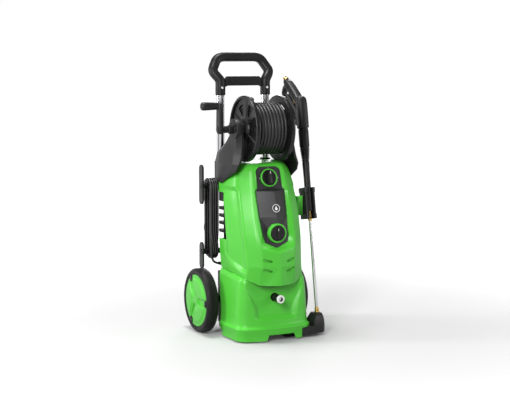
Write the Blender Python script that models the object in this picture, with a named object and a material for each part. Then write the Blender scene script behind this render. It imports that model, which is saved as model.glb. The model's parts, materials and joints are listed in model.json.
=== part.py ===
"""Upright electric pressure washer with a hose reel, a telescopic handle and a parked spray lance.

The machine is described in its own axes: X to its right, Y to its back, Z up, with X = 0 on its middle
plane, Y = 0 on the reel's axle and Z = 0 on the floor. Everything hangs on one empty, which moves the
machine so that the middle of its footprint lies on the world's origin.
"""

import math

import bmesh
import bpy
from mathutils import Matrix, Vector

# ---------------------------------------------------------------- driving dimensions, metres
GAP = 0.0003
SKIN = 0.0025
FOOTPRINT_MIDDLE = Vector((-0.0120, 0.0435, 0.0))

WHEEL_RADIUS = 0.1025
WHEEL_OUTER_X = 0.178
WHEEL_INNER_X = 0.138
AXLE_Y = 0.120
AXLE_RADIUS = 0.006
HUB_CAP_RADIUS = 0.0825

REEL_Z = 0.653
FLANGE_RADIUS = 0.103
FLANGE_INNER_X = 0.052
FLANGE_OUTER_X = 0.066
DRUM_RADIUS = 0.0585
WINDING_RADIUS = 0.0820
SHAFT_RADIUS = 0.008

TUBE_X = 0.079
TUBE_Y = 0.141
TUBE_RADIUS = 0.0125
TUBE_WALL = 0.0015
TUBE_BOTTOM_Z = 0.462
TUBE_TOP_Z = 0.790
SOCKET_BOTTOM_Z = 0.753
GRIP_RADIUS = 0.0150

CRANK_X = 0.139
CRANK_THICKNESS = 0.012
CRANK_REACH = 0.072

LANCE_X = 0.160
NOZZLE_TIP = Vector((LANCE_X, -0.0715, 0.062))
LANCE_SLOPE = 0.173
LANCE_RADIUS = 0.005
SLEEVE_RADIUS = 0.0105

CABLE_DIAMETER = 0.0072
HANK_Y = 0.1135
HANK_INNER_X = -0.1105
HANK_OUTER_X = -0.1395
HANK_LOW_Z = 0.236
HANK_HIGH_Z = 0.494
HANK_RADIUS = 0.0310
HANK_HOLE_RADIUS = 0.0165

KNOB_RADIUS = 0.024
KNOB_RING_RADIUS = 0.029
DIAL_RING_RADIUS = 0.030
DIAL_CENTRE = Vector((0.0, -0.1115, 0.337))
KNOB_CENTRE = Vector((0.0, -0.0475, 0.5025))
KNOB_NORMAL = Vector((0.0, -0.9643, 0.2647)).normalized()

MOTOR_Y = 0.030
MOTOR_RADIUS = 0.055

X_AXIS = Vector((1, 0, 0))
Y_AXIS = Vector((0, 1, 0))
Z_AXIS = Vector((0, 0, 1))
LANCE_UP = Vector((0, LANCE_SLOPE, 1)).normalized()
LANCE_BACK = Vector((0, 1, -LANCE_SLOPE)).normalized()

for old in list(bpy.data.objects):
    bpy.data.objects.remove(old)

machine = bpy.data.objects.new("machine", None)
machine.location = -FOOTPRINT_MIDDLE
bpy.context.scene.collection.objects.link(machine)


# ---------------------------------------------------------------- materials
def material(name, color, roughness, metallic=0.0):
    made = bpy.data.materials.new(name)
    made.use_nodes = True
    shader = made.node_tree.nodes["Principled BSDF"]
    shader.inputs["Base Color"].default_value = (*color, 1.0)
    shader.inputs["Roughness"].default_value = roughness
    shader.inputs["Metallic"].default_value = metallic
    made.diffuse_color = (*color, 1.0)
    return made


GREEN = material("green_shell", (0.09, 0.62, 0.04), 0.38)
BLACK = material("black_plastic", (0.025, 0.025, 0.027), 0.45)
GREY = material("dark_grey_panel", (0.045, 0.045, 0.048), 0.40)
RUBBER = material("rubber", (0.02, 0.02, 0.02), 0.75)
CHROME = material("chrome_tube", (0.85, 0.85, 0.86), 0.10, 1.0)
STEEL = material("lance_steel", (0.70, 0.70, 0.71), 0.22, 1.0)
BRASS = material("brass", (0.80, 0.62, 0.28), 0.25, 1.0)
HOSE = material("hose_black", (0.03, 0.03, 0.03), 0.40)
CABLE = material("cable_black", (0.025, 0.025, 0.025), 0.55)
MOTOR = material("motor_metal", (0.35, 0.35, 0.36), 0.45, 1.0)
ALLOY = material("pump_alloy", (0.60, 0.60, 0.60), 0.40, 1.0)


# ---------------------------------------------------------------- mesh helpers
def add_object(name, mesh, pivot, made_of):
    """The object that holds a mesh, standing at its pivot, in the machine's axes."""
    if made_of is not None:
        mesh.materials.append(made_of)
    made = bpy.data.objects.new(name, mesh)
    bpy.context.scene.collection.objects.link(made)
    made.location = pivot
    made.parent = machine
    return made


def solid(name, bm, made_of=None, pivot=(0, 0, 0)):
    """A closed bmesh, given in the machine's axes, as an object with its origin at pivot."""
    bmesh.ops.connect_verts_nonplanar(bm, angle_limit=math.radians(0.01), faces=bm.faces)
    bmesh.ops.recalc_face_normals(bm, faces=bm.faces)
    bmesh.ops.translate(bm, verts=bm.verts, vec=-Vector(pivot))
    mesh = bpy.data.meshes.new(name)
    bm.to_mesh(mesh)
    bm.free()
    mesh.shade_smooth()
    mesh.set_sharp_from_angle(angle=math.radians(32))
    made = add_object(name, mesh, pivot, made_of)
    if made_of is None:
        made.hide_render = True
        made.display_type = "WIRE"
    return made


def bridge(bm, first, second, around=True):
    count = len(first)
    for i in range(count if around else count - 1):
        j = (i + 1) % count
        bm.faces.new((first[i], first[j], second[j], second[i]))


def loft(rings):
    """A closed body through rings of points, with a flat face on each end."""
    bm = bmesh.new()
    rows = [[bm.verts.new(point) for point in ring] for ring in rings]
    for lower, upper in zip(rows, rows[1:]):
        bridge(bm, lower, upper)
    bm.faces.new(rows[0])
    bm.faces.new(rows[-1])
    return bm


def prism(outline, axis, low, high):
    """An outline of (y, z), (x, z) or (x, y) pairs, drawn out along axis from low to high."""

    def ring(at):
        if axis == "x":
            return [Vector((at, a, b)) for a, b in outline]
        if axis == "y":
            return [Vector((a, at, b)) for a, b in outline]
        return [Vector((a, b, at)) for a, b in outline]

    return loft([ring(low), ring(high)])


def box(low, high):
    return prism([(low[0], low[1]), (high[0], low[1]), (high[0], high[1]), (low[0], high[1])],
                 "z", low[2], high[2])


def placed(bm, origin, direction):
    """Turns a body that was made round +Z so that it stands at origin and points along direction."""
    turn = Vector(direction).to_track_quat("Z", "Y").to_matrix().to_4x4()
    bmesh.ops.transform(bm, matrix=Matrix.Translation(origin) @ turn, verts=bm.verts)
    return bm


def turned(profile, origin, direction, sides=20):
    """A profile of (radius, height) pairs turned round an axis. A radius of 0 at both ends closes it
    on the axis; with none the profile is a loop, which gives a ring."""
    on_axis = profile[0][0] == 0
    bm = bmesh.new()
    rows = []
    for radius, height in profile:
        if radius == 0:
            rows.append([bm.verts.new((0, 0, height))])
            continue
        angles = [2 * math.pi * i / sides for i in range(sides)]
        rows.append([bm.verts.new((radius * math.cos(a), radius * math.sin(a), height)) for a in angles])
    pairs = list(zip(rows, rows[1:]))
    if not on_axis:
        pairs.append((rows[-1], rows[0]))
    for first, second in pairs:
        if len(first) == 1 or len(second) == 1:
            pole, ring = (first[0], second) if len(first) == 1 else (second[0], first)
            for i in range(sides):
                bm.faces.new((pole, ring[i], ring[(i + 1) % sides]))
        else:
            bridge(bm, first, second)
    return placed(bm, origin, direction)


def rod(start, end, radius, sides=16):
    """A round bar from start to end."""
    start, end = Vector(start), Vector(end)
    length = (end - start).length
    return turned([(0, 0), (radius, 0), (radius, length), (0, length)], start, end - start, sides)


def pipe(start, end, radius, hole, sides=16):
    start, end = Vector(start), Vector(end)
    length = (end - start).length
    loop = [(hole, 0), (radius, 0), (radius, length), (hole, length)]
    return turned(loop, start, end - start, sides)


def combine(target, operation, *tools):
    for tool in tools:
        change = target.modifiers.new(operation.lower() + "_" + tool.name, "BOOLEAN")
        change.operation = operation
        change.object = tool
        change.solver = "EXACT"
    return target


def cut(target, *tools):
    return combine(target, "DIFFERENCE", *tools)


def fuse(target, *tools):
    return combine(target, "UNION", *tools)


def tool(name, bm):
    return solid("tool_" + name, bm)


def mirrored(half):
    """A half outline, from the middle plane to its end on the right, and its mirror image: a whole
    row of points from the left end to the right end. The first point lies on the middle plane."""
    left = [Vector((-p[0], p[1], p[2])) for p in reversed(half[1:])]
    return left + [Vector(p) for p in half]


def shell(name, rows, made_of, closed_top=False):
    """A moulded skin through open rows of points, SKIN thick on its inner side."""
    bm = bmesh.new()
    lines = [[bm.verts.new(point) for point in row] for row in rows]
    for lower, upper in zip(lines, lines[1:]):
        for i in range(len(lower) - 1):
            bm.faces.new((lower[i], lower[i + 1], upper[i + 1], upper[i]))
    if closed_top:
        bm.faces.new(lines[-1])
    mesh = bpy.data.meshes.new(name)
    bm.to_mesh(mesh)
    bm.free()
    mesh.shade_smooth()
    mesh.set_sharp_from_angle(angle=math.radians(24))
    made = add_object(name, mesh, (0, 0, 0), made_of)
    thickness = made.modifiers.new("thickness", "SOLIDIFY")
    thickness.thickness = SKIN
    thickness.offset = -1.0
    thickness.use_even_offset = True
    return made


def between(table, z):
    """The value at z of a table of (z, value) pairs, on straight lines between them."""
    for (z0, v0), (z1, v1) in zip(table, table[1:]):
        if z0 <= z <= z1:
            return v0 + (v1 - v0) * (z - z0) / (z1 - z0)
    return table[0][1] if z < table[0][0] else table[-1][1]


def arc(centre, radius, start, end, steps):
    """Points on a circle as pairs, from angle start to end in degrees."""
    angles = [math.radians(start + (end - start) * i / steps) for i in range(steps + 1)]
    return [(centre[0] + radius * math.cos(a), centre[1] + radius * math.sin(a)) for a in angles]


# ---------------------------------------------------------------- control panel
# (height, half width, edge's y, ridge's y): flat behind the power knob, then a V down to its tip.
PANEL = [
    (0.2930, 0.0040, -0.1075, -0.1085),
    (0.3080, 0.0380, -0.1030, -0.1090),
    (0.3180, 0.0410, -0.1005, -0.1090),
    (0.3850, 0.0470, -0.0800, -0.1050),
    (0.4640, 0.0490, -0.0575, -0.0868),
    (0.4730, 0.0420, -0.0553, -0.0553),
    (0.5240, 0.0410, -0.0413, -0.0413),
    (0.5310, 0.0370, -0.0394, -0.0394),
    (0.5360, 0.0280, -0.0380, -0.0380),
]
PANEL_DEPTH = 0.006


def control_panel():
    rings = []
    for z, half, edge, ridge in PANEL:
        back = edge + PANEL_DEPTH
        rings.append([Vector((-half, edge, z)), Vector((0, ridge, z)), Vector((half, edge, z)),
                      Vector((half, back, z)), Vector((-half, back, z))])
    panel = solid("control_panel", loft(rings), GREY)
    seat = rod(DIAL_CENTRE + Vector((0, 0.0132, 0)), DIAL_CENTRE - Vector((0, 0.03, 0)),
               DIAL_RING_RADIUS + GAP, 24)
    stem = rod(KNOB_CENTRE - 0.02 * KNOB_NORMAL, KNOB_CENTRE + 0.01 * KNOB_NORMAL, 0.0065, 16)
    return cut(panel, tool("dial_seat", seat), tool("knob_stem_hole", stem))


def power_knob():
    """A disc with a bar across it, on a stem that reaches through the panel to the switch."""
    profile = [(0, -0.0080), (0.0058, -0.0080), (0.0058, 0.0010), (KNOB_RADIUS, 0.0010),
               (KNOB_RADIUS, 0.0065), (KNOB_RADIUS - 0.002, 0.0085), (0, 0.0085)]
    knob = solid("power_knob", turned(profile, KNOB_CENTRE, KNOB_NORMAL, 24), BLACK, KNOB_CENTRE)
    bar = placed(box((-0.0055, -0.0215, 0.004), (0.0055, 0.0215, 0.0165)), KNOB_CENTRE, KNOB_NORMAL)
    return fuse(knob, tool("knob_bar", bar))


def rings_on_panel():
    loop = [(KNOB_RADIUS + 0.0006, 0.0006), (KNOB_RING_RADIUS, 0.0006), (KNOB_RING_RADIUS, 0.0045),
            (KNOB_RADIUS + 0.0006, 0.0055)]
    solid("power_knob_ring", turned(loop, KNOB_CENTRE, KNOB_NORMAL, 24), GREEN, KNOB_CENTRE)
    loop = [(KNOB_RADIUS + 0.0006, -0.0128), (DIAL_RING_RADIUS, -0.0128), (DIAL_RING_RADIUS, 0.0005),
            (KNOB_RADIUS + 0.0006, 0.0015)]
    solid("dial_ring", turned(loop, DIAL_CENTRE, -Y_AXIS, 24), GREEN, DIAL_CENTRE)


def detergent_dial():
    profile = [(0, -0.0126), (KNOB_RADIUS, -0.0126), (KNOB_RADIUS, -0.0015), (KNOB_RADIUS - 0.003, 0.0010),
               (0, 0.0010)]
    dial = solid("detergent_dial", turned(profile, DIAL_CENTRE, -Y_AXIS, 24), BLACK, DIAL_CENTRE)
    bar = placed(box((-0.004, -0.017, -0.002), (0.004, 0.017, 0.006)), DIAL_CENTRE, -Y_AXIS)
    return fuse(dial, tool("dial_bar", bar))


# ---------------------------------------------------------------- shells of the body
# Rows of the front cover from its lower seam up: height, ridge's y, then (x, y) of the frame round
# the panel, the front corner, the side and the rear edge. None on the ridge marks the panel's pocket.
COVER = [
    (0.2350, -0.1335, (0.056, -0.1200), (0.1010, -0.0846), (0.1125, -0.010), (0.1120, 0.069)),
    (0.2810, -0.1300, (0.055, -0.1175), (0.1025, -0.0790), (0.1165, -0.010), (0.1160, 0.067)),
    (0.2925, None, (0.056, -0.1160), (0.1030, -0.0770), (0.1170, -0.010), (0.1165, 0.066)),
    (0.3075, None, (0.060, -0.1120), (0.1040, -0.0745), (0.1178, -0.010), (0.1175, 0.066)),
    (0.3185, None, (0.0615, -0.1090), (0.1045, -0.0725), (0.1180, -0.010), (0.1180, 0.019)),
    (0.3850, None, (0.0610, -0.0890), (0.1050, -0.0570), (0.1180, -0.008), (0.1180, 0.0285)),
    (0.4470, None, (0.0590, -0.0690), (0.1035, -0.0360), (0.1172, 0.004), (0.1172, 0.039)),
    (0.4635, None, (0.0585, -0.0650), (0.1020, -0.0290), (0.1150, 0.010), (0.1150, 0.0815)),
    (0.4740, None, (0.0560, -0.0585), (0.1015, -0.0230), (0.1130, 0.015), (0.1130, 0.0815)),
    (0.5245, None, (0.0530, -0.0400), (0.0930, -0.0040), (0.1000, 0.030), (0.1005, 0.083)),
    (0.5315, None, (0.0520, -0.0365), (0.0890, -0.0020), (0.0970, 0.030), (0.0980, 0.083)),
    (0.5365, None, (0.0505, -0.0335), (0.0850, -0.0010), (0.0930, 0.030), (0.0950, 0.083)),
    (0.5420, -0.0270, (0.0480, -0.0240), (0.0770, 0.0010), (0.0870, 0.030), (0.0900, 0.083)),
    (0.5475, -0.0150, (0.0430, -0.0110), (0.0650, 0.0070), (0.0780, 0.030), (0.0830, 0.083)),
]
# The seam between front cover and base skirt: it runs up from the nose, round the corners, to the rear.
COVER_SEAM = [(0, -0.134, 0.1775), (0.012, -0.1310, 0.1775), (0.030, -0.1240, 0.1775),
              (0.060, -0.1080, 0.1785), (0.097, -0.0860, 0.1955), (0.1095, -0.005, 0.2100),
              (0.1085, 0.0710, 0.2120)]


def cover_row(z, ridge, frame, corner, side, rear):
    """Half a row: middle, pocket's corner, pocket's lip, frame, front corner, side, rear edge."""
    if ridge is None:
        half = between([(row[0], row[1]) for row in PANEL], z) + 0.0012
        edge = between([(row[0], row[2]) for row in PANEL], z)
        floor = edge + PANEL_DEPTH + 0.0012
        first = [(0, floor), (half, floor), (half, edge)]
    else:
        share = [(0.2 * frame[0], ridge + 0.2 * (frame[1] - ridge)),
                 (0.5 * frame[0], ridge + 0.5 * (frame[1] - ridge))]
        first = [(0, ridge), *share]
    return [(x, y, z) for x, y in [*first, frame, corner, side, rear]]


def front_cover():
    rows = [mirrored(COVER_SEAM)] + [mirrored(cover_row(*row)) for row in COVER]
    cover = shell("front_cover", rows, GREEN, closed_top=True)
    louvres = []
    for side in (-1, 1):
        for z in (0.2230, 0.2530):
            slot = box((-0.013, -0.160, -0.0030), (0.013, -0.100, 0.0030))
            turn = Matrix.Rotation(side * math.radians(-14), 4, "Y")
            place = Matrix.Translation((side * 0.039, 0, z)) @ turn
            bmesh.ops.transform(slot, matrix=place, verts=slot.verts)
            louvres.append(tool(f"louvre_{side}_{z}", slot))
    stem_room = rod(KNOB_CENTRE - 0.03 * KNOB_NORMAL, KNOB_CENTRE, 0.0065, 16)
    return cut(cover, *louvres, tool("stem_room", stem_room))


# Rows of the base skirt from the floor up: for each height the points (x, y) of the middle, the
# recess, the recess's side, the pillar, the front corner, the corner's side, the flank and the rear.
SKIRT = [
    (0.020, (0, -0.1190), (0.028, -0.1185), (0.050, -0.1170), (0.070, -0.1140), (0.106, -0.1030),
     (0.124, -0.0800), (0.1270, 0.0), (0.1260, 0.036)),
    (0.040, (0, -0.1220), (0.028, -0.1215), (0.050, -0.1200), (0.070, -0.1170), (0.109, -0.1060),
     (0.128, -0.0820), (0.1310, 0.0), (0.1300, 0.038)),
    (0.058, (0, -0.1115), (0.028, -0.1112), (0.050, -0.1105), (0.068, -0.1085), (0.104, -0.0980),
     (0.121, -0.0780), (0.1255, 0.0), (0.1245, 0.040)),
    (0.074, (0, -0.1090), (0.028, -0.1087), (0.050, -0.1080), (0.067, -0.1070), (0.103, -0.0970),
     (0.1205, -0.0775), (0.1248, 0.0), (0.1240, 0.042)),
    (0.086, (0, -0.0935), (0.028, -0.0932), (0.052, -0.0925), (0.066, -0.1050), (0.103, -0.0960),
     (0.1200, -0.0770), (0.1245, 0.0), (0.1235, 0.044)),
    (0.130, (0, -0.0935), (0.034, -0.0930), (0.066, -0.0915), (0.079, -0.1015), (0.1015, -0.0945),
     (0.1175, -0.0760), (0.1220, 0.0), (0.1215, 0.052)),
    (0.165, (0, -0.0940), (0.040, -0.0935), (0.079, -0.0905), (0.088, -0.0955), (0.1000, -0.0915),
     (0.1150, -0.0750), (0.1195, 0.0), (0.1190, 0.060)),
]
SKIRT_SHOULDER = [(0, -0.0940, 0.171), (0.041, -0.0935, 0.171), (0.081, -0.0900, 0.172),
                  (0.089, -0.0925, 0.177), (0.0995, -0.0895, 0.183), (0.1120, -0.0735, 0.190),
                  (0.1165, 0.0, 0.194), (0.1160, 0.067, 0.195)]
SKIRT_SEAM = [(0, -0.0940, 0.1765), (0.041, -0.0935, 0.1765), (0.081, -0.0895, 0.1770),
              (0.088, -0.0895, 0.1860), (0.0965, -0.0860, 0.1945), (0.1035, -0.0710, 0.2010),
              (0.1095, -0.002, 0.2090), (0.1085, 0.0710, 0.2110)]
INLET_Z = 0.135


def base_skirt():
    rows = [mirrored([(x, y, row[0]) for x, y in row[1:]]) for row in SKIRT]
    rows += [mirrored(SKIRT_SHOULDER), mirrored(SKIRT_SEAM)]
    skirt = shell("base_skirt", rows, GREEN)
    inlet_hole = rod((0, -0.12, INLET_Z), (0, -0.08, INLET_Z), 0.0135, 24)
    notch = box((-0.035, -0.16, 0.0), (0.030, -0.09, 0.030))
    return cut(skirt, tool("inlet_hole", inlet_hole), tool("skirt_notch", notch))


RELIEF_FOOT = Vector((-0.0930, 0.0865, 0.2200))
RELIEF_END = Vector((-0.1130, 0.0865, 0.2240))


def rear_cover():
    """The black back: wide where it meets the green edge, and narrow beside the cooling fins."""
    wide = [(0, 0.1520), (0.050, 0.1520), (0.0717, 0.112), (0.0950, 0.0850), (0.1035, 0.0700)]
    wide_top = [*wide[:4], (0.1115, 0.0665)]
    narrow = [(0, 0.1520), (0.050, 0.1520), (0.0700, 0.112), (0.0950, 0.0580), (0.1120, 0.0450)]
    rows = []
    for z, half in ((0.1895, wide), (0.3040, wide_top), (0.3110, narrow), (0.4545, narrow)):
        rows.append(mirrored([(x, y, z) for x, y in half]))
    cover = shell("rear_cover", [row[::-1] for row in rows], BLACK)
    teeth = []
    for side in (-1, 1):
        for z, thick in ((0.3310, 0.010), (0.3560, 0.010), (0.3790, 0.010), (0.4025, 0.010),
                         (0.4390, 0.029)):
            xs = sorted((side * 0.0960, side * 0.1125))
            fin = box((xs[0], 0.0470, z - thick / 2), (xs[1], 0.0790, z + thick / 2))
            teeth.append(tool(f"fin_{side}_{z}", fin))
    fuse(cover, *teeth)
    way = RELIEF_END - RELIEF_FOOT
    return cut(cover, tool("relief_hole", rod(RELIEF_FOOT - 0.5 * way, RELIEF_END, 0.0079, 12)))


def base_chassis():
    """A black tray with an open top. Behind its middle it narrows to make room for the wheels."""

    def front(inset, low):
        rings = []
        for z, half in ((low, 0.1150), (0.150, 0.1130), (0.1890, 0.1030)):
            w = half - inset
            rings.append([Vector((-w, 0.076 - inset, z)), Vector((w, 0.076 - inset, z)),
                          Vector((w, -0.060, z)), Vector((w - 0.025, -0.0850 + inset, z)),
                          Vector((-w + 0.025, -0.0850 + inset, z)), Vector((-w, -0.060, z))])
        return rings

    tray = solid("base_chassis", loft(front(0.0, 0.0220)), BLACK)
    back = box((-0.0850, 0.060, 0.0220), (0.0850, 0.1520, 0.1890))
    hollow_rings = front(0.004, 0.0270)
    hollow_rings[-1] = [Vector((p.x, p.y, 0.20)) for p in hollow_rings[-1]]
    back_hollow = box((-0.0810, 0.050, 0.0270), (0.0810, 0.1480, 0.20))
    fuse(tray, tool("chassis_back", back))
    cut(tray, tool("chassis_hollow", loft(hollow_rings)), tool("chassis_back_hollow", back_hollow))
    for side in (-1, 1):
        bush = rod((side * 0.070, AXLE_Y, WHEEL_RADIUS), (side * 0.1372, AXLE_Y, WHEEL_RADIUS), 0.014, 12)
        fuse(tray, tool(f"bush_{side}", bush))
    axle_hole = rod((-0.15, AXLE_Y, WHEEL_RADIUS), (0.15, AXLE_Y, WHEEL_RADIUS), AXLE_RADIUS + GAP, 16)
    inlet_hole = rod((0, -0.10, INLET_Z), (0, -0.075, INLET_Z), 0.0135, 16)
    return cut(tray, tool("axle_hole", axle_hole), tool("chassis_inlet_hole", inlet_hole))


def front_feet():
    for side, word in ((-1, "left"), (1, "right")):
        rings = []
        for z, w, d in ((0.0, 0.018, 0.022), (0.004, 0.020, 0.024), (0.0217, 0.020, 0.024)):
            x, y = side * 0.066, -0.052
            rings.append([Vector((x - w, y - d, z)), Vector((x + w, y - d, z)),
                          Vector((x + w, y + d, z)), Vector((x - w, y + d, z))])
        solid(f"{word}_front_foot", loft(rings), RUBBER)


def water_inlet():
    """A quick connector with an open bore, screwed into the pump head."""
    profile = [(0, 0.0625), (0.0100, 0.0625), (0.0100, 0.039), (0.0118, 0.036), (0.0118, 0.026),
               (0.0100, 0.022), (0.0100, 0.009), (0.0120, 0.006), (0.0120, 0.0), (0.0060, 0.0),
               (0.0060, 0.030), (0, 0.030)]
    return solid("water_inlet", turned(profile, (0, -0.1340, INLET_Z), Y_AXIS, 16), BLACK)


# ---------------------------------------------------------------- inside the body
def drive():
    """Motor over pump: the rotor's shaft runs down the motor's bore, and a fan sits on its top."""
    loop = [(0.0065, 0.230), (MOTOR_RADIUS, 0.230), (MOTOR_RADIUS, 0.405), (0.0065, 0.405)]
    solid("motor_housing", turned(loop, (0, MOTOR_Y, 0), Z_AXIS, 20), MOTOR)
    profile = [(0, 0.234), (0.0060, 0.234), (0.0060, 0.409), (0.050, 0.409), (0.050, 0.423),
               (0.0060, 0.423), (0.0060, 0.432), (0, 0.432)]
    solid("motor_rotor", turned(profile, (0, MOTOR_Y, 0), Z_AXIS, 12), BLACK, (0, MOTOR_Y, 0.332))
    solid("pump_body", rod((0, MOTOR_Y, 0.1655), (0, MOTOR_Y, 0.2297), 0.045, 16), ALLOY)
    solid("pump_head", box((-0.032, -0.0710, 0.1050), (0.032, 0.0300, 0.1652)), BRASS)
    solid("switch_box", box((-0.028, -0.028, 0.4720), (0.028, 0.0180, 0.5250)), BLACK)


def outlet_pipe():
    """The pressure pipe from the pump head up the right side to the foot of the reel's arm."""
    route = [(0.0325, 0.000, 0.140), (0.048, 0.000, 0.142), (0.066, 0.006, 0.160), (0.074, 0.018, 0.200),
             (0.077, 0.030, 0.260), (0.078, 0.040, 0.340), (0.078, 0.046, 0.420), (0.076, 0.050, 0.490),
             (0.074, 0.052, 0.530)]
    return cord_tube("outlet_pipe", route, 0.010, RUBBER, 2, 1)


def cord_tube(name, route, diameter, made_of, steps=3, roundness=2):
    """A tube along a smooth curve through the route's points."""
    points = smooth(route, steps)
    curve = bpy.data.curves.new(name, "CURVE")
    curve.dimensions = "3D"
    curve.bevel_depth = diameter / 2
    curve.bevel_resolution = roundness
    curve.use_fill_caps = True
    spline = curve.splines.new("POLY")
    spline.points.add(len(points) - 1)
    for slot, point in zip(spline.points, points):
        slot.co = (*point, 1.0)
    return add_object(name, curve, (0, 0, 0), made_of)


def smooth(route, steps):
    """Points on a Catmull-Rom curve through the route."""
    route = [Vector(p) for p in route]
    ends = [2 * route[0] - route[1], *route, 2 * route[-1] - route[-2]]
    points = []
    for a, b, c, d in zip(ends, ends[1:], ends[2:], ends[3:]):
        for i in range(steps):
            t = i / steps
            points.append(0.5 * (2 * b + (c - a) * t + (2 * a - 5 * b + 4 * c - d) * t * t
                                 + (3 * b - a - 3 * c + d) * t ** 3))
    points.append(route[-1])
    return points


# ---------------------------------------------------------------- wheels
def wheels():
    """Tyre, core and hub cap on each side. The core's three tabs stand in the cap's notches."""
    for side, word in ((-1, "left"), (1, "right")):
        centre = Vector((0, AXLE_Y, WHEEL_RADIUS))
        out = side * X_AXIS
        low, high = WHEEL_INNER_X, WHEEL_OUTER_X
        tyre = [(0.0838, low + 0.002), (0.0970, low), (WHEEL_RADIUS, low + 0.008),
                (WHEEL_RADIUS, high - 0.008), (0.0970, high), (0.0838, high - 0.002)]
        solid(f"{word}_tyre", turned(tyre, centre, out, 28), RUBBER, centre)
        hole = AXLE_RADIUS + 0.0002
        core = [(hole, low), (0.020, low), (0.020, low + 0.020), (0.072, low + 0.020), (0.072, low + 0.006),
                (0.0830, low + 0.006), (0.0830, high - 0.0062), (hole, high - 0.0062)]
        core_body = solid(f"{word}_wheel_core", turned(core, centre, out, 28), BLACK, centre)
        cap = [(0, high - 0.0058), (HUB_CAP_RADIUS, high - 0.0058), (HUB_CAP_RADIUS, high - 0.002),
               (HUB_CAP_RADIUS - 0.004, high), (0.030, high + 0.003), (0, high + 0.003)]
        cap_body = solid(f"{word}_hub_cap", turned(cap, centre, out, 28), GREEN, centre)
        for angle in (0, 120, 240):
            turn = Matrix.Rotation(math.radians(angle + 180), 4, "X")
            for target, grow in ((core_body, 0.0), (cap_body, 0.0006)):
                xs = sorted((side * (high - 0.008 - 2 * grow), side * (high + 0.0005 + 10 * grow)))
                tab = box((xs[0], 0.070 - grow, -0.0085 - grow), (xs[1], 0.0825 + 10 * grow, 0.0085 + grow))
                bmesh.ops.transform(tab, matrix=Matrix.Translation(centre) @ turn, verts=tab.verts)
                made = tool(f"tab_{word}_{angle}_{target.name}", tab)
                (fuse if target is core_body else cut)(target, made)
    axle_end = WHEEL_OUTER_X - 0.0070
    solid("wheel_axle", rod((-axle_end, AXLE_Y, WHEEL_RADIUS), (axle_end, AXLE_Y, WHEEL_RADIUS),
                            AXLE_RADIUS, 16), STEEL)


# ---------------------------------------------------------------- handle
def handle_path():
    """Half of the grip's centre line, from the middle of its top bar down to its socket."""
    return [(0, 0.1735, 0.8740), (0.035, 0.1735, 0.8740), (0.066, 0.1732, 0.8728), (0.080, 0.1715, 0.8660),
            (0.089, 0.1680, 0.8530), (0.0960, 0.1610, 0.8390), (0.0975, 0.1560, 0.8290),
            (0.0920, 0.1500, 0.8180), (0.0835, 0.1450, 0.8080), (TUBE_X, 0.1420, 0.7990),
            (TUBE_X, TUBE_Y, 0.7850), (TUBE_X, TUBE_Y, SOCKET_BOTTOM_Z)]


def sweep(path, radius, sides):
    """A round body along a path that lies near the XZ plane."""
    rings = []
    for i, point in enumerate(path):
        before, after = path[max(i - 1, 0)], path[min(i + 1, len(path) - 1)]
        tangent = (after - before).normalized()
        side = tangent.cross(Y_AXIS).normalized()
        depth = side.cross(tangent).normalized()
        ring = []
        for k in range(sides):
            a = 2 * math.pi * (k + 0.5) / sides
            ring.append(point + radius * (math.cos(a) * side + math.sin(a) * depth))
        rings.append(ring)
    return loft(rings)


def handle():
    path = mirrored(handle_path())
    grip = solid("handle_grip", sweep(path, GRIP_RADIUS, 10), BLACK, (0, TUBE_Y, SOCKET_BOTTOM_Z))
    for side, word in ((-1, "left"), (1, "right")):
        x = side * TUBE_X
        bore = rod((x, TUBE_Y, SOCKET_BOTTOM_Z - 0.01), (x, TUBE_Y, TUBE_TOP_Z + GAP),
                   TUBE_RADIUS + 0.0004, 16)
        button_hole = rod((x, 0.120, 0.777), (x, 0.130, 0.777), 0.0037, 8)
        cut(grip, tool(f"socket_{word}", bore), tool(f"button_hole_{word}", button_hole))
        solid(f"{word}_handle_tube", pipe((x, TUBE_Y, TUBE_BOTTOM_Z), (x, TUBE_Y, TUBE_TOP_Z),
                                          TUBE_RADIUS, TUBE_RADIUS - TUBE_WALL, 16), CHROME)
        solid(f"{word}_grip_screw", rod((x, 0.1245, 0.777), (x, 0.1282, 0.777), 0.0034, 8), STEEL)
    outline = [(-0.0560, 0.7830), (0.0560, 0.7830), (0.0628, 0.7790), (0.0628, 0.8060), (0.0560, 0.8130),
               (-0.0560, 0.8130), (-0.0628, 0.8060), (-0.0628, 0.7790)]
    solid("handle_brace", prism(outline, "y", TUBE_Y - 0.007, TUBE_Y + 0.007), BLACK)


def reel_carrier():
    """The beam behind the cover's dome: it carries the reel's arms and guides the handle's tubes."""
    outline = [(-0.0975, 0.0835), (0.0975, 0.0835), (0.0975, 0.1480), (0.0870, 0.1600), (-0.0870, 0.1600),
               (-0.0975, 0.1480)]
    beam = solid("reel_carrier", prism(outline, "z", 0.4550, 0.5450), BLACK)
    hollow = box((-0.0560, 0.0890, 0.4400), (0.0560, 0.1540, 0.5380))
    tools = [tool("carrier_hollow", hollow)]
    for side in (-1, 1):
        x = side * TUBE_X
        bore = rod((x, TUBE_Y, 0.44), (x, TUBE_Y, 0.56), TUBE_RADIUS + 0.0005, 16)
        tools.append(tool(f"guide_{side}", bore))
    return cut(beam, *tools)


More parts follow.
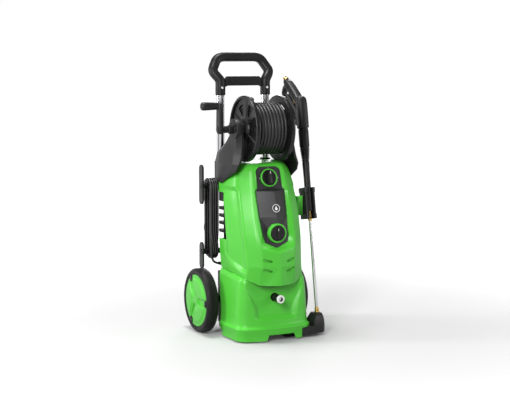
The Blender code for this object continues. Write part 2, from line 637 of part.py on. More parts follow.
# ---------------------------------------------------------------- reel
# An arm's sections from its lower tip up: height, inner x, outer x, front y, rear y.
ARM = [
    (0.4840, 0.1150, 0.1180, 0.048, 0.078), (0.4980, 0.1120, 0.1180, 0.022, 0.096),
    (0.5240, 0.1020, 0.1175, -0.034, 0.108), (0.5460, 0.0980, 0.1165, -0.048, 0.117),
    (0.5620, 0.0900, 0.1150, -0.049, 0.119), (0.5740, 0.0860, 0.1135, -0.048, 0.118),
    (0.6060, 0.0790, 0.1070, -0.040, 0.070), (0.6400, 0.0780, 0.1005, -0.0315, 0.034),
]


def reel_arms():
    for side, word in ((-1, "left"), (1, "right")):
        rings = []
        for z, inner, outer, front, rear in ARM:
            rings.append([Vector((side * inner, front, z)), Vector((side * outer, front + 0.010, z)),
                          Vector((side * outer, rear - 0.010, z)), Vector((side * inner, rear, z))])
        arm = solid(f"{word}_reel_arm", loft(rings), BLACK)
        boss = rod((side * 0.0776, 0, REEL_Z), (side * 0.1012, 0, REEL_Z), 0.0330, 20)
        hole = rod((side * 0.07, 0, REEL_Z), (side * 0.12, 0, REEL_Z), SHAFT_RADIUS + 0.0004, 16)
        fuse(arm, tool(f"boss_{word}", boss))
        cut(arm, tool(f"shaft_hole_{word}", hole))


def reel():
    axle = Vector((0, 0, REEL_Z))
    for side, word in ((-1, "left"), (1, "right")):
        low, high = FLANGE_INNER_X, FLANGE_OUTER_X
        hole = SHAFT_RADIUS + GAP
        profile = [(hole, low), (FLANGE_RADIUS, low), (FLANGE_RADIUS, high), (0.093, high),
                   (0.091, low + 0.004), (0.031, low + 0.004), (0.020, 0.0770), (hole, 0.0770)]
        flange = solid(f"{word}_reel_flange", turned(profile, axle, side * X_AXIS, 28), BLACK, axle)
        for k, degrees in enumerate((0, 63, 117, 180, 243, 297)):
            angle = math.radians(degrees)
            window = [(0.060 * math.cos(angle + da) * r, 0.060 * math.sin(angle + da) * r)
                      for da, r in ((-0.20, 0.75), (0.20, 0.75), (0.27, 1.38), (-0.27, 1.38))]
            outline = [(y, REEL_Z + z) for y, z in window]
            xs = sorted((side * 0.040, side * 0.080))
            cut(flange, tool(f"window_{word}_{k}", prism(outline, "x", *xs)))
    half = FLANGE_INNER_X - GAP
    bore = SHAFT_RADIUS + GAP
    drum = [(bore, -half), (DRUM_RADIUS, -half), (DRUM_RADIUS, half), (bore, half)]
    solid("reel_drum", turned(drum, axle, X_AXIS, 24), BLACK, axle)
    coil = [(DRUM_RADIUS + GAP, -half), (WINDING_RADIUS, -half), (WINDING_RADIUS, half),
            (DRUM_RADIUS + GAP, half)]
    solid("hose_winding", turned(coil, axle, X_AXIS, 24), HOSE, axle)
    end_z = REEL_Z + WINDING_RADIUS + 0.0085
    solid("hose_end", rod((-0.0415, -0.018, end_z), (-0.0415, 0.022, end_z), 0.0078, 12), BLACK, axle)
    shaft = rod((-CRANK_X + GAP, 0, REEL_Z), (0.1060, 0, REEL_Z), SHAFT_RADIUS, 16)
    solid("reel_shaft", shaft, STEEL, axle)


def crank():
    axle = Vector((0, 0, REEL_Z))
    top = REEL_Z + CRANK_REACH
    outline = arc((0, REEL_Z), 0.014, 180, 360, 8) + arc((0, top), 0.0118, 0, 180, 8)
    solid("crank_arm", prism(outline, "x", -CRANK_X - CRANK_THICKNESS, -CRANK_X), BLACK, axle)
    profile = [(0, 0.0), (0.0112, 0.0), (0.0120, 0.004), (0.0128, 0.040), (0.0120, 0.052), (0.009, 0.0545),
               (0, 0.0545)]
    foot = Vector((-CRANK_X - CRANK_THICKNESS - GAP, 0, top))
    solid("crank_grip", turned(profile, foot, -X_AXIS, 16), BLACK, foot)


# ---------------------------------------------------------------- gun and lance
def on_lance(along, back):
    """(y, z) of a point that is along up the lance from its nozzle's tip, and back behind its axis."""
    point = NOZZLE_TIP + along * LANCE_UP + back * LANCE_BACK
    return (point.y, point.z)


def lance_outline(pairs):
    return [on_lance(along, back) for along, back in pairs]


GRIP_FOOT = (0.6720, 0.0000)
GRIP_END = (0.7620, 0.0905)
TRIGGER_PIVOT = (0.6420, 0.0245)
LOCK_PIVOT = (0.6819, 0.0457)
BARREL_END = 0.5450
PIVOT_PIN_RADIUS = 0.0020


def gun_body():
    """Barrel and grip in one moulding, with a closed guard round the trigger."""
    barrel = [(BARREL_END, -0.0165), (0.600, -0.0180), (0.672, -0.0180), (0.690, -0.0120), (0.697, 0.0),
              (0.690, 0.0120), (0.660, 0.0180), (0.600, 0.0175), (BARREL_END, 0.0165)]
    body = solid("gun_body", prism(lance_outline(barrel), "x", LANCE_X - 0.0155, LANCE_X + 0.0155), BLACK)
    ax, ab = GRIP_END[0] - GRIP_FOOT[0], GRIP_END[1] - GRIP_FOOT[1]
    length = math.hypot(ax, ab)
    nx, nb = -ab / length * 0.0138, ax / length * 0.0138
    grip = [(GRIP_FOOT[0] + nx, GRIP_FOOT[1] + nb), (GRIP_FOOT[0] - nx, GRIP_FOOT[1] - nb),
            (GRIP_END[0] - nx, GRIP_END[1] - nb), (GRIP_END[0] + nx, GRIP_END[1] + nb)]
    guard = [(0.752, 0.088), (0.746, 0.104), (0.728, 0.1190), (0.712, 0.1165), (0.684, 0.0965),
             (0.650, 0.0620), (0.612, 0.0420), (0.580, 0.0160), (0.600, 0.0160), (0.622, 0.0360),
             (0.655, 0.0555), (0.690, 0.0900), (0.714, 0.1080), (0.724, 0.1100), (0.744, 0.086)]
    fuse(body, tool("gun_grip", prism(lance_outline(grip), "x", LANCE_X - 0.014, LANCE_X + 0.014)),
         tool("gun_guard", prism(lance_outline(guard), "x", LANCE_X - 0.009, LANCE_X + 0.009)))
    ear = lance_outline([(0.6300, 0.0160), (0.6540, 0.0160), (0.6500, 0.0285), (0.6340, 0.0285)])
    for side in (-1, 1):
        xs = sorted((LANCE_X + side * 0.0066, LANCE_X + side * 0.0110))
        fuse(body, tool(f"pivot_ear_{side}", prism(ear, "x", *xs)))
    hole = rod(lance_point(*TRIGGER_PIVOT, LANCE_X - 0.02), lance_point(*TRIGGER_PIVOT, LANCE_X + 0.02),
               PIVOT_PIN_RADIUS + 0.0002, 10)
    return cut(body, tool("pivot_hole", hole))


def lance_point(along, back, x=LANCE_X):
    y, z = on_lance(along, back)
    return Vector((x, y, z))


def trigger():
    outline = [(0.632, 0.0195), (0.650, 0.0205), (0.700, 0.0660), (0.7205, 0.0880), (0.716, 0.0930),
               (0.690, 0.0710), (0.662, 0.0430), (0.636, 0.0300)]
    pivot = lance_point(*TRIGGER_PIVOT)
    blade = prism(lance_outline(outline), "x", LANCE_X - 0.006, LANCE_X + 0.006)
    lever = solid("trigger", blade, BLACK, pivot)
    pin = rod(lance_point(*TRIGGER_PIVOT, LANCE_X - 0.0108), lance_point(*TRIGGER_PIVOT, LANCE_X + 0.0142),
              PIVOT_PIN_RADIUS, 10)
    fuse(lever, tool("trigger_pin", pin))
    inner_end = lance_point(*TRIGGER_PIVOT, LANCE_X + 0.0113)
    outer_end = lance_point(*TRIGGER_PIVOT, LANCE_X + 0.0140)
    solid("trigger_spring", pipe(inner_end, outer_end, 0.0042, 0.0024, 10), STEEL, pivot)
    lock_angle = 42.3
    tail = math.radians(lock_angle)
    radius = 0.0016
    reach = 0.0070
    ends = arc(LOCK_PIVOT, radius, lock_angle + 90, lock_angle + 270, 6)
    ahead = (LOCK_PIVOT[0] + reach * math.cos(tail), LOCK_PIVOT[1] + reach * math.sin(tail))
    ends += arc(ahead, radius, lock_angle - 90, lock_angle + 90, 2)
    lock = prism(lance_outline(ends), "x", LANCE_X - 0.004, LANCE_X + 0.004)
    solid("trigger_lock", lock, BRASS, lance_point(*LOCK_PIVOT))


def lance():
    sleeve = [(0, 0.330), (SLEEVE_RADIUS, 0.330), (SLEEVE_RADIUS, 0.440), (0.0120, 0.500), (0.0155, 0.530),
              (0.0163, BARREL_END - GAP), (0, BARREL_END - GAP)]
    solid("lance_sleeve", turned(sleeve, NOZZLE_TIP, LANCE_UP, 16), BLACK)
    tube = [(0, 0.0250), (LANCE_RADIUS, 0.0250), (LANCE_RADIUS, 0.300), (0.0066, 0.304),
            (0.0066, 0.330 - GAP),
            (0, 0.330 - GAP)]
    solid("lance_tube", turned(tube, NOZZLE_TIP, LANCE_UP, 12), STEEL)
    nozzle = [(0, 0.0), (0.0045, 0.0), (0.0075, 0.006), (0.0075, 0.018), (0.0058, 0.0247), (0, 0.0247)]
    solid("nozzle", turned(nozzle, NOZZLE_TIP, LANCE_UP, 12), BRASS)
    ax, ab = GRIP_END[0] - GRIP_FOOT[0], GRIP_END[1] - GRIP_FOOT[1]
    end = lance_point(*GRIP_END)
    out = (ax * LANCE_UP + ab * LANCE_BACK).normalized()
    inlet = [(0, GAP), (0.0090, GAP), (0.0090, 0.006), (0.0070, 0.008), (0.0070, 0.015), (0.0035, 0.015),
             (0.0035, 0.004), (0, 0.004)]
    solid("gun_inlet", turned(inlet, end, out, 12), BRASS)


def lance_holder():
    """A clip block on the body's right side: the lance's sleeve drops into its open channel."""
    middle = NOZZLE_TIP + 0.355 * LANCE_UP
    block = box((-0.0200, -0.0170, -0.0500), (0.0200, 0.0310, 0.0500))
    turn = Matrix((X_AXIS, LANCE_BACK, LANCE_UP)).transposed().to_4x4()
    place = Matrix.Translation(middle) @ turn
    bmesh.ops.transform(block, matrix=place, verts=block.verts)
    holder = solid("lance_holder", block, BLACK)
    channel = rod(middle - 0.06 * LANCE_UP, middle + 0.06 * LANCE_UP, SLEEVE_RADIUS + 0.0012, 16)
    mouth = box((-0.0095, -0.0300, -0.0600), (0.0095, 0.0, 0.0600))
    bmesh.ops.transform(mouth, matrix=place, verts=mouth.verts)
    cut(holder, tool("holder_channel", channel), tool("holder_mouth", mouth))
    solid("holder_bracket", box((0.1186, -0.0100, 0.3740), (0.1395, 0.0100, 0.4360)), GREEN)


def nozzle_cup():
    """A block at the base's right front corner, with a hole in its top for the nozzle."""
    outline = [(0.0880, -0.0900), (0.1780, -0.0980), (0.1840, -0.0900), (0.1840, -0.0500),
               (0.1760, -0.0420), (0.0880, -0.0420)]
    cup = solid("nozzle_cup", prism(outline, "z", 0.0080, 0.0197), BLACK)
    rings = []
    for z, grow in ((0.0150, 0.0), (0.0600, 0.0), (0.0700, -0.005)):
        inner, corner, outer = 0.1322 - grow * 0.2, 0.1760 + grow, 0.1830 + grow
        front, rear = -0.0960 - grow, -0.0440 + grow
        rings.append([Vector((inner, front, z)), Vector((corner, front, z)),
                      Vector((outer, front + 0.0070, z)), Vector((outer, rear - 0.0070, z)),
                      Vector((corner, rear, z)), Vector((inner, rear, z))])
    fuse(cup, tool("cup_block", loft(rings)))
    seat = rod(NOZZLE_TIP - 0.006 * LANCE_UP, NOZZLE_TIP + 0.05 * LANCE_UP, 0.0100, 16)
    return cut(cup, tool("cup_seat", seat))


# ---------------------------------------------------------------- cable
UPPER_HOOK_Z = 0.4700
LOWER_HOOK_Z = 0.2600
HOOK_PLATE_X = -0.1545
HOOK_ARM_RADIUS = 0.009


def cable_hooks():
    """Round arms that the cable hangs over, each with an end plate. The upper one turns to let go."""
    for name, z, low, high, foot in (("upper_cable_hook", UPPER_HOOK_Z, 0.411, 0.537, -0.0979),
                                     ("lower_cable_hook", LOWER_HOOK_Z, 0.206, 0.291, -0.0830)):
        pivot = (HOOK_PLATE_X, HANK_Y, z)
        half = 0.0135
        outline = arc((HANK_Y, high - half), half, 0, 180, 6)
        outline += arc((HANK_Y, low + half), half, 180, 360, 6)
        hook = solid(name, prism(outline, "x", HOOK_PLATE_X - 0.006, HOOK_PLATE_X), BLACK, pivot)
        arm = rod((foot, HANK_Y, z), (HOOK_PLATE_X - 0.0075, HANK_Y, z), HOOK_ARM_RADIUS, 12)
        fuse(hook, tool(name + "_arm", arm))


def cable():
    """The cable's hank over the hooks, the lead from its strain relief and the tail with the plug."""
    straight = (HANK_LOW_Z + HANK_RADIUS, HANK_HIGH_Z - HANK_RADIUS)
    outer = arc((HANK_Y, straight[1]), HANK_RADIUS, 0, 180, 10)
    outer += arc((HANK_Y, straight[0]), HANK_RADIUS, 180, 360, 10)
    hank = solid("cable_hank", prism(outer, "x", HANK_OUTER_X, HANK_INNER_X), CABLE)
    inner = arc((HANK_Y, straight[1]), HANK_HOLE_RADIUS, 0, 180, 8)
    inner += arc((HANK_Y, straight[0]), HANK_HOLE_RADIUS, 180, 360, 8)
    cut(hank, tool("hank_hole", prism(inner, "x", HANK_OUTER_X - 0.01, HANK_INNER_X + 0.01)))

    way = RELIEF_END - RELIEF_FOOT
    profile = [(0, 0), (0.0075, 0), (0.0075, 0.004), (0.0046, way.length), (0, way.length)]
    solid("cable_strain_relief", turned(profile, RELIEF_FOOT, way, 12), BLACK)
    start = RELIEF_END + way.normalized() * GAP
    lead = [start, (-0.1185, 0.0865, 0.2252), (-0.1258, 0.0863, 0.2288), (-0.1312, 0.0862, 0.2352),
            (-0.1337, 0.0861, 0.2430)]
    cord_tube("cable_lead", lead, CABLE_DIAMETER, CABLE)
    tail = [(-0.1330, 0.1486, 0.4400), (-0.1300, 0.1515, 0.4230), (-0.1230, 0.1560, 0.4070),
            (-0.1150, 0.1615, 0.3950), (-0.1103, 0.1640, 0.3850), (-0.1095, 0.1645, 0.3753)]
    cord_tube("cable_tail", tail, CABLE_DIAMETER, CABLE)
    plug_top = Vector((-0.1095, 0.1645, 0.3750))
    profile = [(0, 0), (0.0060, 0), (0.0075, 0.016), (0.0150, 0.030), (0.0180, 0.040), (0.0180, 0.056),
               (0, 0.056)]
    plug = solid("plug", turned(profile, plug_top, -Z_AXIS, 16), BLACK)
    for side in (-1, 1):
        x = plug_top.x + side * 0.0095
        pin = rod((x, plug_top.y, plug_top.z - 0.050), (x, plug_top.y, plug_top.z - 0.075), 0.0024, 8)
        fuse(plug, tool(f"pin_{side}", pin))


# ---------------------------------------------------------------- the machine
base_chassis()
base_skirt()
front_cover()
rear_cover()
reel_carrier()
control_panel()
power_knob()
rings_on_panel()
detergent_dial()
front_feet()
water_inlet()
drive()
outlet_pipe()
wheels()
handle()
reel_arms()
reel()
crank()
gun_body()
trigger()
lance()
lance_holder()
nozzle_cup()
cable_hooks()
cable()
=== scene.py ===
"""The looks of the pressure washer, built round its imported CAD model.

Shapes are given in the machine's own axes: X to its right, Y to its back, Z up, with X = 0 on the middle
plane, Y = 0 on the reel's axle and Z = 0 on the floor. The frame's reel joint says where that origin lies.
"""

import json
import math

import bmesh
import bpy
from mathutils import Matrix, Vector

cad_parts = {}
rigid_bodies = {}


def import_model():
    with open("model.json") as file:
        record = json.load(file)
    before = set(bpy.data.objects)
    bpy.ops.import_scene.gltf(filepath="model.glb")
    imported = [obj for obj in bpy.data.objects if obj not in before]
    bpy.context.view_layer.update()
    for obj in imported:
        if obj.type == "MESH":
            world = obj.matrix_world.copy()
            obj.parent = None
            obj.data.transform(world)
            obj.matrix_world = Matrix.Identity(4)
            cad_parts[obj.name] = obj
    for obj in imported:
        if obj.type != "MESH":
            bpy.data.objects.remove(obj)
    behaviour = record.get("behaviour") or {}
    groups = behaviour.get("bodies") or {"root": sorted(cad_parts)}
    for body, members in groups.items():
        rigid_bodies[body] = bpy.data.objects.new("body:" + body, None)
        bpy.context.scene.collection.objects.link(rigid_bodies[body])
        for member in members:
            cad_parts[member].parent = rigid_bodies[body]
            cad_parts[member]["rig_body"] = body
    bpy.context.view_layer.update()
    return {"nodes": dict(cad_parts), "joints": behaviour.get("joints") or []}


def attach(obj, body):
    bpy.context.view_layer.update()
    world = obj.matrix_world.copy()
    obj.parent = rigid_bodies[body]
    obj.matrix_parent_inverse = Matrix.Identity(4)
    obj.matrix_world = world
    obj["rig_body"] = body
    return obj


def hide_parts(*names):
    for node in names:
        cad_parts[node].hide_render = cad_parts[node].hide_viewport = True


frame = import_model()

joint_at = {joint["name"]: Vector(joint.get("pos_m", (0, 0, 0))) for joint in frame["joints"]}
joint_axis = {joint["name"]: Vector(joint["axis"]) for joint in frame["joints"]}
REEL_Z = joint_at["reel_spin"].z
ORIGIN = Vector((joint_at["reel_spin"].x, joint_at["reel_spin"].y, 0.0))
X_AXIS, Y_AXIS, Z_AXIS = Vector((1, 0, 0)), Vector((0, 1, 0)), Vector((0, 0, 1))
SIDES = ((-1, "left"), (1, "right"))


def in_machine(name):
    """A joint's place in the machine's own axes."""
    return joint_at[name] - ORIGIN


# ---------------------------------------------------------------- scene and shader helpers
def placed(name, data):
    """A new object in the scene."""
    made = bpy.data.objects.new(name, data)
    bpy.context.scene.collection.objects.link(made)
    return made


def mesh_of(name, bm):
    """The bmesh's mesh. The bmesh is used up."""
    mesh = bpy.data.meshes.new(name)
    bm.to_mesh(mesh)
    bm.free()
    return mesh


def wire(node, sockets):
    """Gives a node's sockets their values, or their links from other nodes' outputs."""
    for name, value in sockets.items():
        if isinstance(value, bpy.types.NodeSocket):
            node.id_data.links.new(value, node.inputs[name])
        else:
            node.inputs[name].default_value = value


def add_node(tree, kind, sockets, **settings):
    """A shader node with its settings and sockets filled in."""
    node = tree.nodes.new("ShaderNode" + kind)
    for name, value in settings.items():
        setattr(node, name, value)
    wire(node, sockets)
    return node


def new_material(name, sockets):
    """A material with its Principled BSDF's sockets filled in."""
    made = bpy.data.materials.new(name)
    made.use_nodes = True
    wire(made.node_tree.nodes["Principled BSDF"], sockets)
    return made


# ---------------------------------------------------------------- camera, floor and lights
CAMERA_AZIMUTH = -25.5
CAMERA_ELEVATION = 6.5
CAMERA_DISTANCE = 4.11
CAMERA_TARGET = Vector((-0.0198, 0.0096, 0.4285))
CAMERA_LENS = 92.5
LIGHTS_AIM = Vector((0, 0, 0.45))
FLOOR_SIDES = 64
FLOOR_FLAT = 3.0
FLOOR_BEND = 1.5


def make_camera():
    """The camera, at the photo's angle."""
    turn, rise = math.radians(CAMERA_AZIMUTH), math.radians(CAMERA_ELEVATION)
    back = Vector((math.sin(turn) * math.cos(rise), -math.cos(turn) * math.cos(rise), math.sin(rise)))
    data = bpy.data.cameras.new("camera")
    data.lens = CAMERA_LENS
    data.sensor_width = 36.0
    camera = placed("camera", data)
    camera.location = CAMERA_TARGET + ORIGIN + back * CAMERA_DISTANCE
    camera.rotation_euler = back.to_track_quat("Z", "Y").to_euler()
    bpy.context.scene.camera = camera


def area_light(name, place, size, power):
    """A soft box that faces the middle of the machine."""
    data = bpy.data.lights.new(name, "AREA")
    data.shape = "RECTANGLE"
    data.size, data.size_y = size
    data.energy = power
    lamp = placed(name, data)
    lamp.location = place
    lamp.rotation_euler = (Vector(place) - LIGHTS_AIM).to_track_quat("Z", "Y").to_euler()


def make_floor():
    """A pale floor that curves up into a backdrop on every side. It glows with distance from the machine,
    and its own light doesn't fall back on the machine."""
    bm = bmesh.new()
    profile = [(0.02, 0.0), (1.2, 0.0), (FLOOR_FLAT, 0.0)]
    for degrees in range(10, 90, 10):
        a = math.radians(degrees)
        profile.append((FLOOR_FLAT + FLOOR_BEND * math.sin(a), FLOOR_BEND - FLOOR_BEND * math.cos(a)))
    angles = [2 * math.pi * i / FLOOR_SIDES for i in range(FLOOR_SIDES)]
    rows = [[bm.verts.new((radius * math.cos(a), radius * math.sin(a), height)) for a in angles]
            for radius, height in profile]
    for inner, outer in zip(rows, rows[1:]):
        bridge(bm, inner, outer)
    bm.faces.new(rows[0])
    mesh = mesh_of("floor", bm)
    mesh.shade_smooth()
    floor = placed("floor", mesh)
    paper = new_material("paper", {"Base Color": (0.50, 0.50, 0.50, 1), "Roughness": 0.9,
                                   "Specular IOR Level": 0.1, "Emission Color": (1, 1, 1, 1)})
    tree = paper.node_tree
    place = add_node(tree, "NewGeometry", {})
    distance = add_node(tree, "VectorMath", {0: place.outputs["Position"]}, operation="LENGTH")
    glow = add_node(tree, "MapRange", {"From Min": 0.35, "From Max": 2.2, "To Min": 0.03, "To Max": 0.72,
                                       "Value": distance.outputs["Value"]}, interpolation_type="SMOOTHSTEP")
    wire(tree.nodes["Principled BSDF"], {"Emission Strength": glow.outputs["Result"]})
    mesh.materials.append(paper)
    floor.visible_diffuse = False


def make_lights():
    """A dim even world, and five soft boxes: plain contrast, so the colours aren't washed out."""
    world = bpy.data.worlds.new("studio")
    world.use_nodes = True
    wire(world.node_tree.nodes["Background"], {"Color": (1.0, 1.0, 1.0, 1), "Strength": 0.24})
    bpy.context.scene.world = world
    bpy.context.scene.view_settings.view_transform = "Standard"
    area_light("key", (-2.0, -2.2, 1.7), (0.6, 1.4), 84)
    area_light("side", (-2.5, 0.9, 1.3), (0.5, 1.4), 44)
    area_light("fill", (2.3, -2.0, 1.2), (0.5, 1.4), 24)
    area_light("top", (-0.2, 0.2, 2.7), (0.7, 0.7), 62)
    area_light("rim", (1.6, 2.6, 1.8), (0.8, 1.6), 34)


def black_card(name, place, size):
    """A dark board beside the set, seen only in reflections, where it draws dark lines along bright tubes."""
    bm = bmesh.new()
    across = Vector((-place[1], place[0], 0)).normalized() * size[0] / 2
    rise = Vector((0, 0, size[1] / 2))
    corners = (-across - rise, across - rise, across + rise, rise - across)
    bm.faces.new([bm.verts.new(Vector(place) + corner) for corner in corners])
    mesh = mesh_of(name, bm)
    cloth = {"Base Color": (0.002, 0.002, 0.002, 1), "Roughness": 1.0}
    mesh.materials.append(new_material("black_cloth", cloth))
    card = placed(name, mesh)
    card.visible_camera = card.visible_diffuse = card.visible_shadow = False


# ---------------------------------------------------------------- materials
def finish(name, color, roughness, metallic=0.0, grain=(900, 0.15), mottle=0.10, wear_and_painted_light=0.0, shine=0.5,
           stretch=(1, 1, 1)):
    """A moulded, drawn or turned surface: colour that drifts a little, roughness that varies, and a fine
    grain as bump. With wear_and_painted_light, hollows are darkened with painted shade and edges are rubbed
    lighter, as wear and as a painted highlight. grain is the texture's scale and the bump's strength."""
    made = new_material(name, {"Metallic": metallic, "Specular IOR Level": shine})
    tree = made.node_tree
    place = add_node(tree, "TexCoord", {})
    mapping = add_node(tree, "Mapping", {"Scale": stretch, "Vector": place.outputs["Object"]})
    scaled = mapping.outputs["Vector"]

    def noise(scale, detail):
        return add_node(tree, "TexNoise", {"Scale": scale, "Detail": detail, "Vector": scaled}).outputs["Fac"]

    def spread_over(value, sockets):
        return add_node(tree, "MapRange", {**sockets, "Value": value}).outputs["Result"]

    def tinted(factor, a, b):
        return add_node(tree, "Mix", {"Factor": factor, "A": a, "B": b}, data_type="RGBA").outputs["Result"]

    def shade(share, lift=0.0):
        return (*[min(1, c * share + lift) for c in color], 1)

    surface = tinted(noise(14, 5), shade(1 - mottle), shade(1 + mottle))
    if wear_and_painted_light:
        # Painted shade: hollows and creases, found by pointiness, are darkened as if shaded. Convex edges are
        # lightened as wear and as a painted highlight.
        pointed = add_node(tree, "NewGeometry", {}).outputs["Pointiness"]
        painted_hollow_shade = spread_over(pointed, {"From Min": 0.485, "From Max": 0.40, "To Max": 0.55})
        edges = spread_over(pointed, {"From Min": 0.52, "From Max": 0.62, "To Max": wear_and_painted_light})
        surface = tinted(painted_hollow_shade, surface, shade(0.35))
        surface = tinted(edges, surface, shade(1.5, 0.04))
    gloss = spread_over(noise(38, 6), {"To Min": max(0.03, roughness - 0.06), "To Max": roughness + 0.08})
    scale, strength = grain
    bump = add_node(tree, "Bump", {"Strength": strength, "Distance": 0.0004, "Height": noise(scale, 3)})
    wire(tree.nodes["Principled BSDF"],
         {"Base Color": surface, "Roughness": gloss, "Normal": bump.outputs["Normal"]})
    made.diffuse_color = (*color, 1)
    return made


# Each finish: colour, roughness and what else its surface has.
GREEN = finish("green_plastic", (0.082, 0.53, 0.043), 0.32, grain=(700, 0.05), mottle=0.04, wear_and_painted_light=0.2,
               shine=0.30)
BLACK = finish("black_grained", (0.010, 0.0097, 0.0100), 0.42, grain=(1500, 0.35), mottle=0.15, wear_and_painted_light=0.25,
               shine=0.26)
SATIN = finish("black_satin", (0.006, 0.006, 0.0062), 0.34, grain=(800, 0.08), mottle=0.15, wear_and_painted_light=0.2,
               shine=0.28)
PANEL = finish("panel_grey", (0.021, 0.019, 0.022), 0.46, grain=(1200, 0.16), mottle=0.08, wear_and_painted_light=0.15,
               shine=0.35)
TYRE = finish("tyre_rubber", (0.007, 0.007, 0.007), 0.50, grain=(500, 0.45), mottle=0.3, wear_and_painted_light=0.3, shine=0.20)
RUBBER = finish("rubber", (0.008, 0.008, 0.008), 0.62, grain=(600, 0.5), mottle=0.2, shine=0.25)
SOFT_GRIP = finish("soft_grip", (0.007, 0.0068, 0.007), 0.42, grain=(900, 0.4), mottle=0.15, wear_and_painted_light=0.2,
                   shine=0.24)
CHROME = finish("chrome", (0.66, 0.66, 0.68), 0.10, 1.0, grain=(260, 0.01), mottle=0.04, stretch=(1, 1, 0.05))
STEEL = finish("drawn_steel", (0.56, 0.56, 0.56), 0.18, 1.0, grain=(900, 0.10), mottle=0.08,
               stretch=(1, 1, 0.03))
BRASS = finish("brass", (0.62, 0.42, 0.13), 0.22, 1.0, grain=(700, 0.08), mottle=0.12)
HOSE = finish("hose_jacket", (0.012, 0.012, 0.012), 0.45, grain=(1300, 0.04), mottle=0.2, shine=0.38)
CABLE = finish("cable_jacket", (0.008, 0.008, 0.008), 0.38, grain=(1500, 0.25), mottle=0.2)
CASTING = finish("cast_alloy", (0.42, 0.42, 0.43), 0.45, 1.0, grain=(350, 0.5), mottle=0.15)
WHITE = finish("white_print", (0.85, 0.85, 0.85), 0.40, grain=(900, 0.04), mottle=0.03)


# ---------------------------------------------------------------- mesh helpers
SHARP_CAD_EDGE = 28


def place_mesh(name, bm):
    """A mesh moved from the machine's axes to the frame's, with its faces pointing out."""
    bmesh.ops.recalc_face_normals(bm, faces=bm.faces)
    bmesh.ops.translate(bm, verts=bm.verts, vec=ORIGIN)
    return mesh_of(name, bm)


def declare(made, made_of, body, nodes):
    """Says which finish a piece has, which body it rides on and which CAD nodes it stands for."""
    made.data.materials.append(made_of)
    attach(made, body)
    if nodes:
        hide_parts(*nodes)
    return made


def show_smooth(mesh, sharp):
    """Smooth shading, with sharp edges above an angle in degrees."""
    mesh.shade_smooth()
    mesh.set_sharp_from_angle(angle=math.radians(sharp))


def piece(name, bm, made_of, body, *nodes, sharp=35, bevel=0.0):
    """A mesh piece given in the machine's axes, which rides on a body and stands for CAD nodes."""
    mesh = place_mesh(name, bm)
    show_smooth(mesh, sharp)
    made = placed(name, mesh)
    if bevel:
        soften(made, bevel)
    return declare(made, made_of, body, nodes)


def soften(made, width, segments=3, angle=SHARP_CAD_EDGE):
    """Rounds an object's edges above an angle in degrees."""
    edges = made.modifiers.new("edges", "BEVEL")
    edges.width = width
    edges.segments = segments
    edges.limit_method = "ANGLE"
    edges.angle_limit = math.radians(angle)
    edges.harden_normals = True
    edges.use_clamp_overlap = True


def thicken(made, thickness):
    """Gives a sheet its thickness, inwards."""
    skin = made.modifiers.new("skin", "SOLIDIFY")
    skin.thickness = thickness
    skin.offset = -1.0


def refined(node, made_of, width=0.0012, segments=3):
    """A CAD node's own shape with its edges rounded over, in place of the node."""
    source = frame["nodes"][node]
    bm = bmesh.new()
    bm.from_mesh(source.data)
    bmesh.ops.remove_doubles(bm, verts=bm.verts, dist=0.000005)
    bmesh.ops.dissolve_limit(bm, angle_limit=math.radians(1.0), verts=bm.verts, edges=bm.edges)
    mesh = mesh_of(node + "_shape", bm)
    show_smooth(mesh, SHARP_CAD_EDGE)
    made = placed(node + "_shape", mesh)
    soften(made, width, segments)
    declare(made, made_of, source["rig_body"], [node])


def join(bm, part, place=Matrix()):
    """Moves a separate body into bm, at its place."""
    part.transform(place)
    mesh = mesh_of("part", part)
    bm.from_mesh(mesh)
    bpy.data.meshes.remove(mesh)


def standing(origin, direction):
    """The placement that stands a body made round +Z on a point, along a direction."""
    return Matrix.Translation(origin) @ Vector(direction).to_track_quat("Z", "Y").to_matrix().to_4x4()


def round_axle(centre, side, degrees):
    """The placement of a body made for the right side, turned about the axle: side -1 mirrors it."""
    turn = Matrix.Rotation(math.radians(degrees), 4, "X")
    return Matrix.Translation(centre) @ turn @ Matrix.Diagonal((side, 1, 1, 1))


def repaint(node, made_of):
    """Gives a CAD part another material."""
    mesh = frame["nodes"][node].data
    mesh.materials.clear()
    mesh.materials.append(made_of)


def bridge(bm, first, second, around=True):
    """Faces between two rows of vertices."""
    count = len(first)
    for i in range(count if around else count - 1):
        j = (i + 1) % count
        bm.faces.new((first[i], first[j], second[j], second[i]))


def loft(rings, bm=None):
    """A closed body through rings of points, with a flat face on each end."""
    bm = bm or bmesh.new()
    rows = [[bm.verts.new(point) for point in ring] for ring in rings]
    for lower, upper in zip(rows, rows[1:]):
        bridge(bm, lower, upper)
    bm.faces.new(rows[0])
    bm.faces.new(rows[-1])
    return bm


def prism(outline, axis, low, high, bm=None):
    """An outline of (y, z), (x, z) or (x, y) pairs, drawn out along axis from low to high."""

    def ring(at):
        if axis == "x":
            return [Vector((at, a, b)) for a, b in outline]
        if axis == "y":
            return [Vector((a, at, b)) for a, b in outline]
        return [Vector((a, b, at)) for a, b in outline]

    return loft([ring(low), ring(high)], bm)


def box(low, high, bm=None):
    """A block between two corners."""
    return prism([(low[0], low[1]), (high[0], low[1]), (high[0], high[1]), (low[0], high[1])],
                 "z", low[2], high[2], bm)


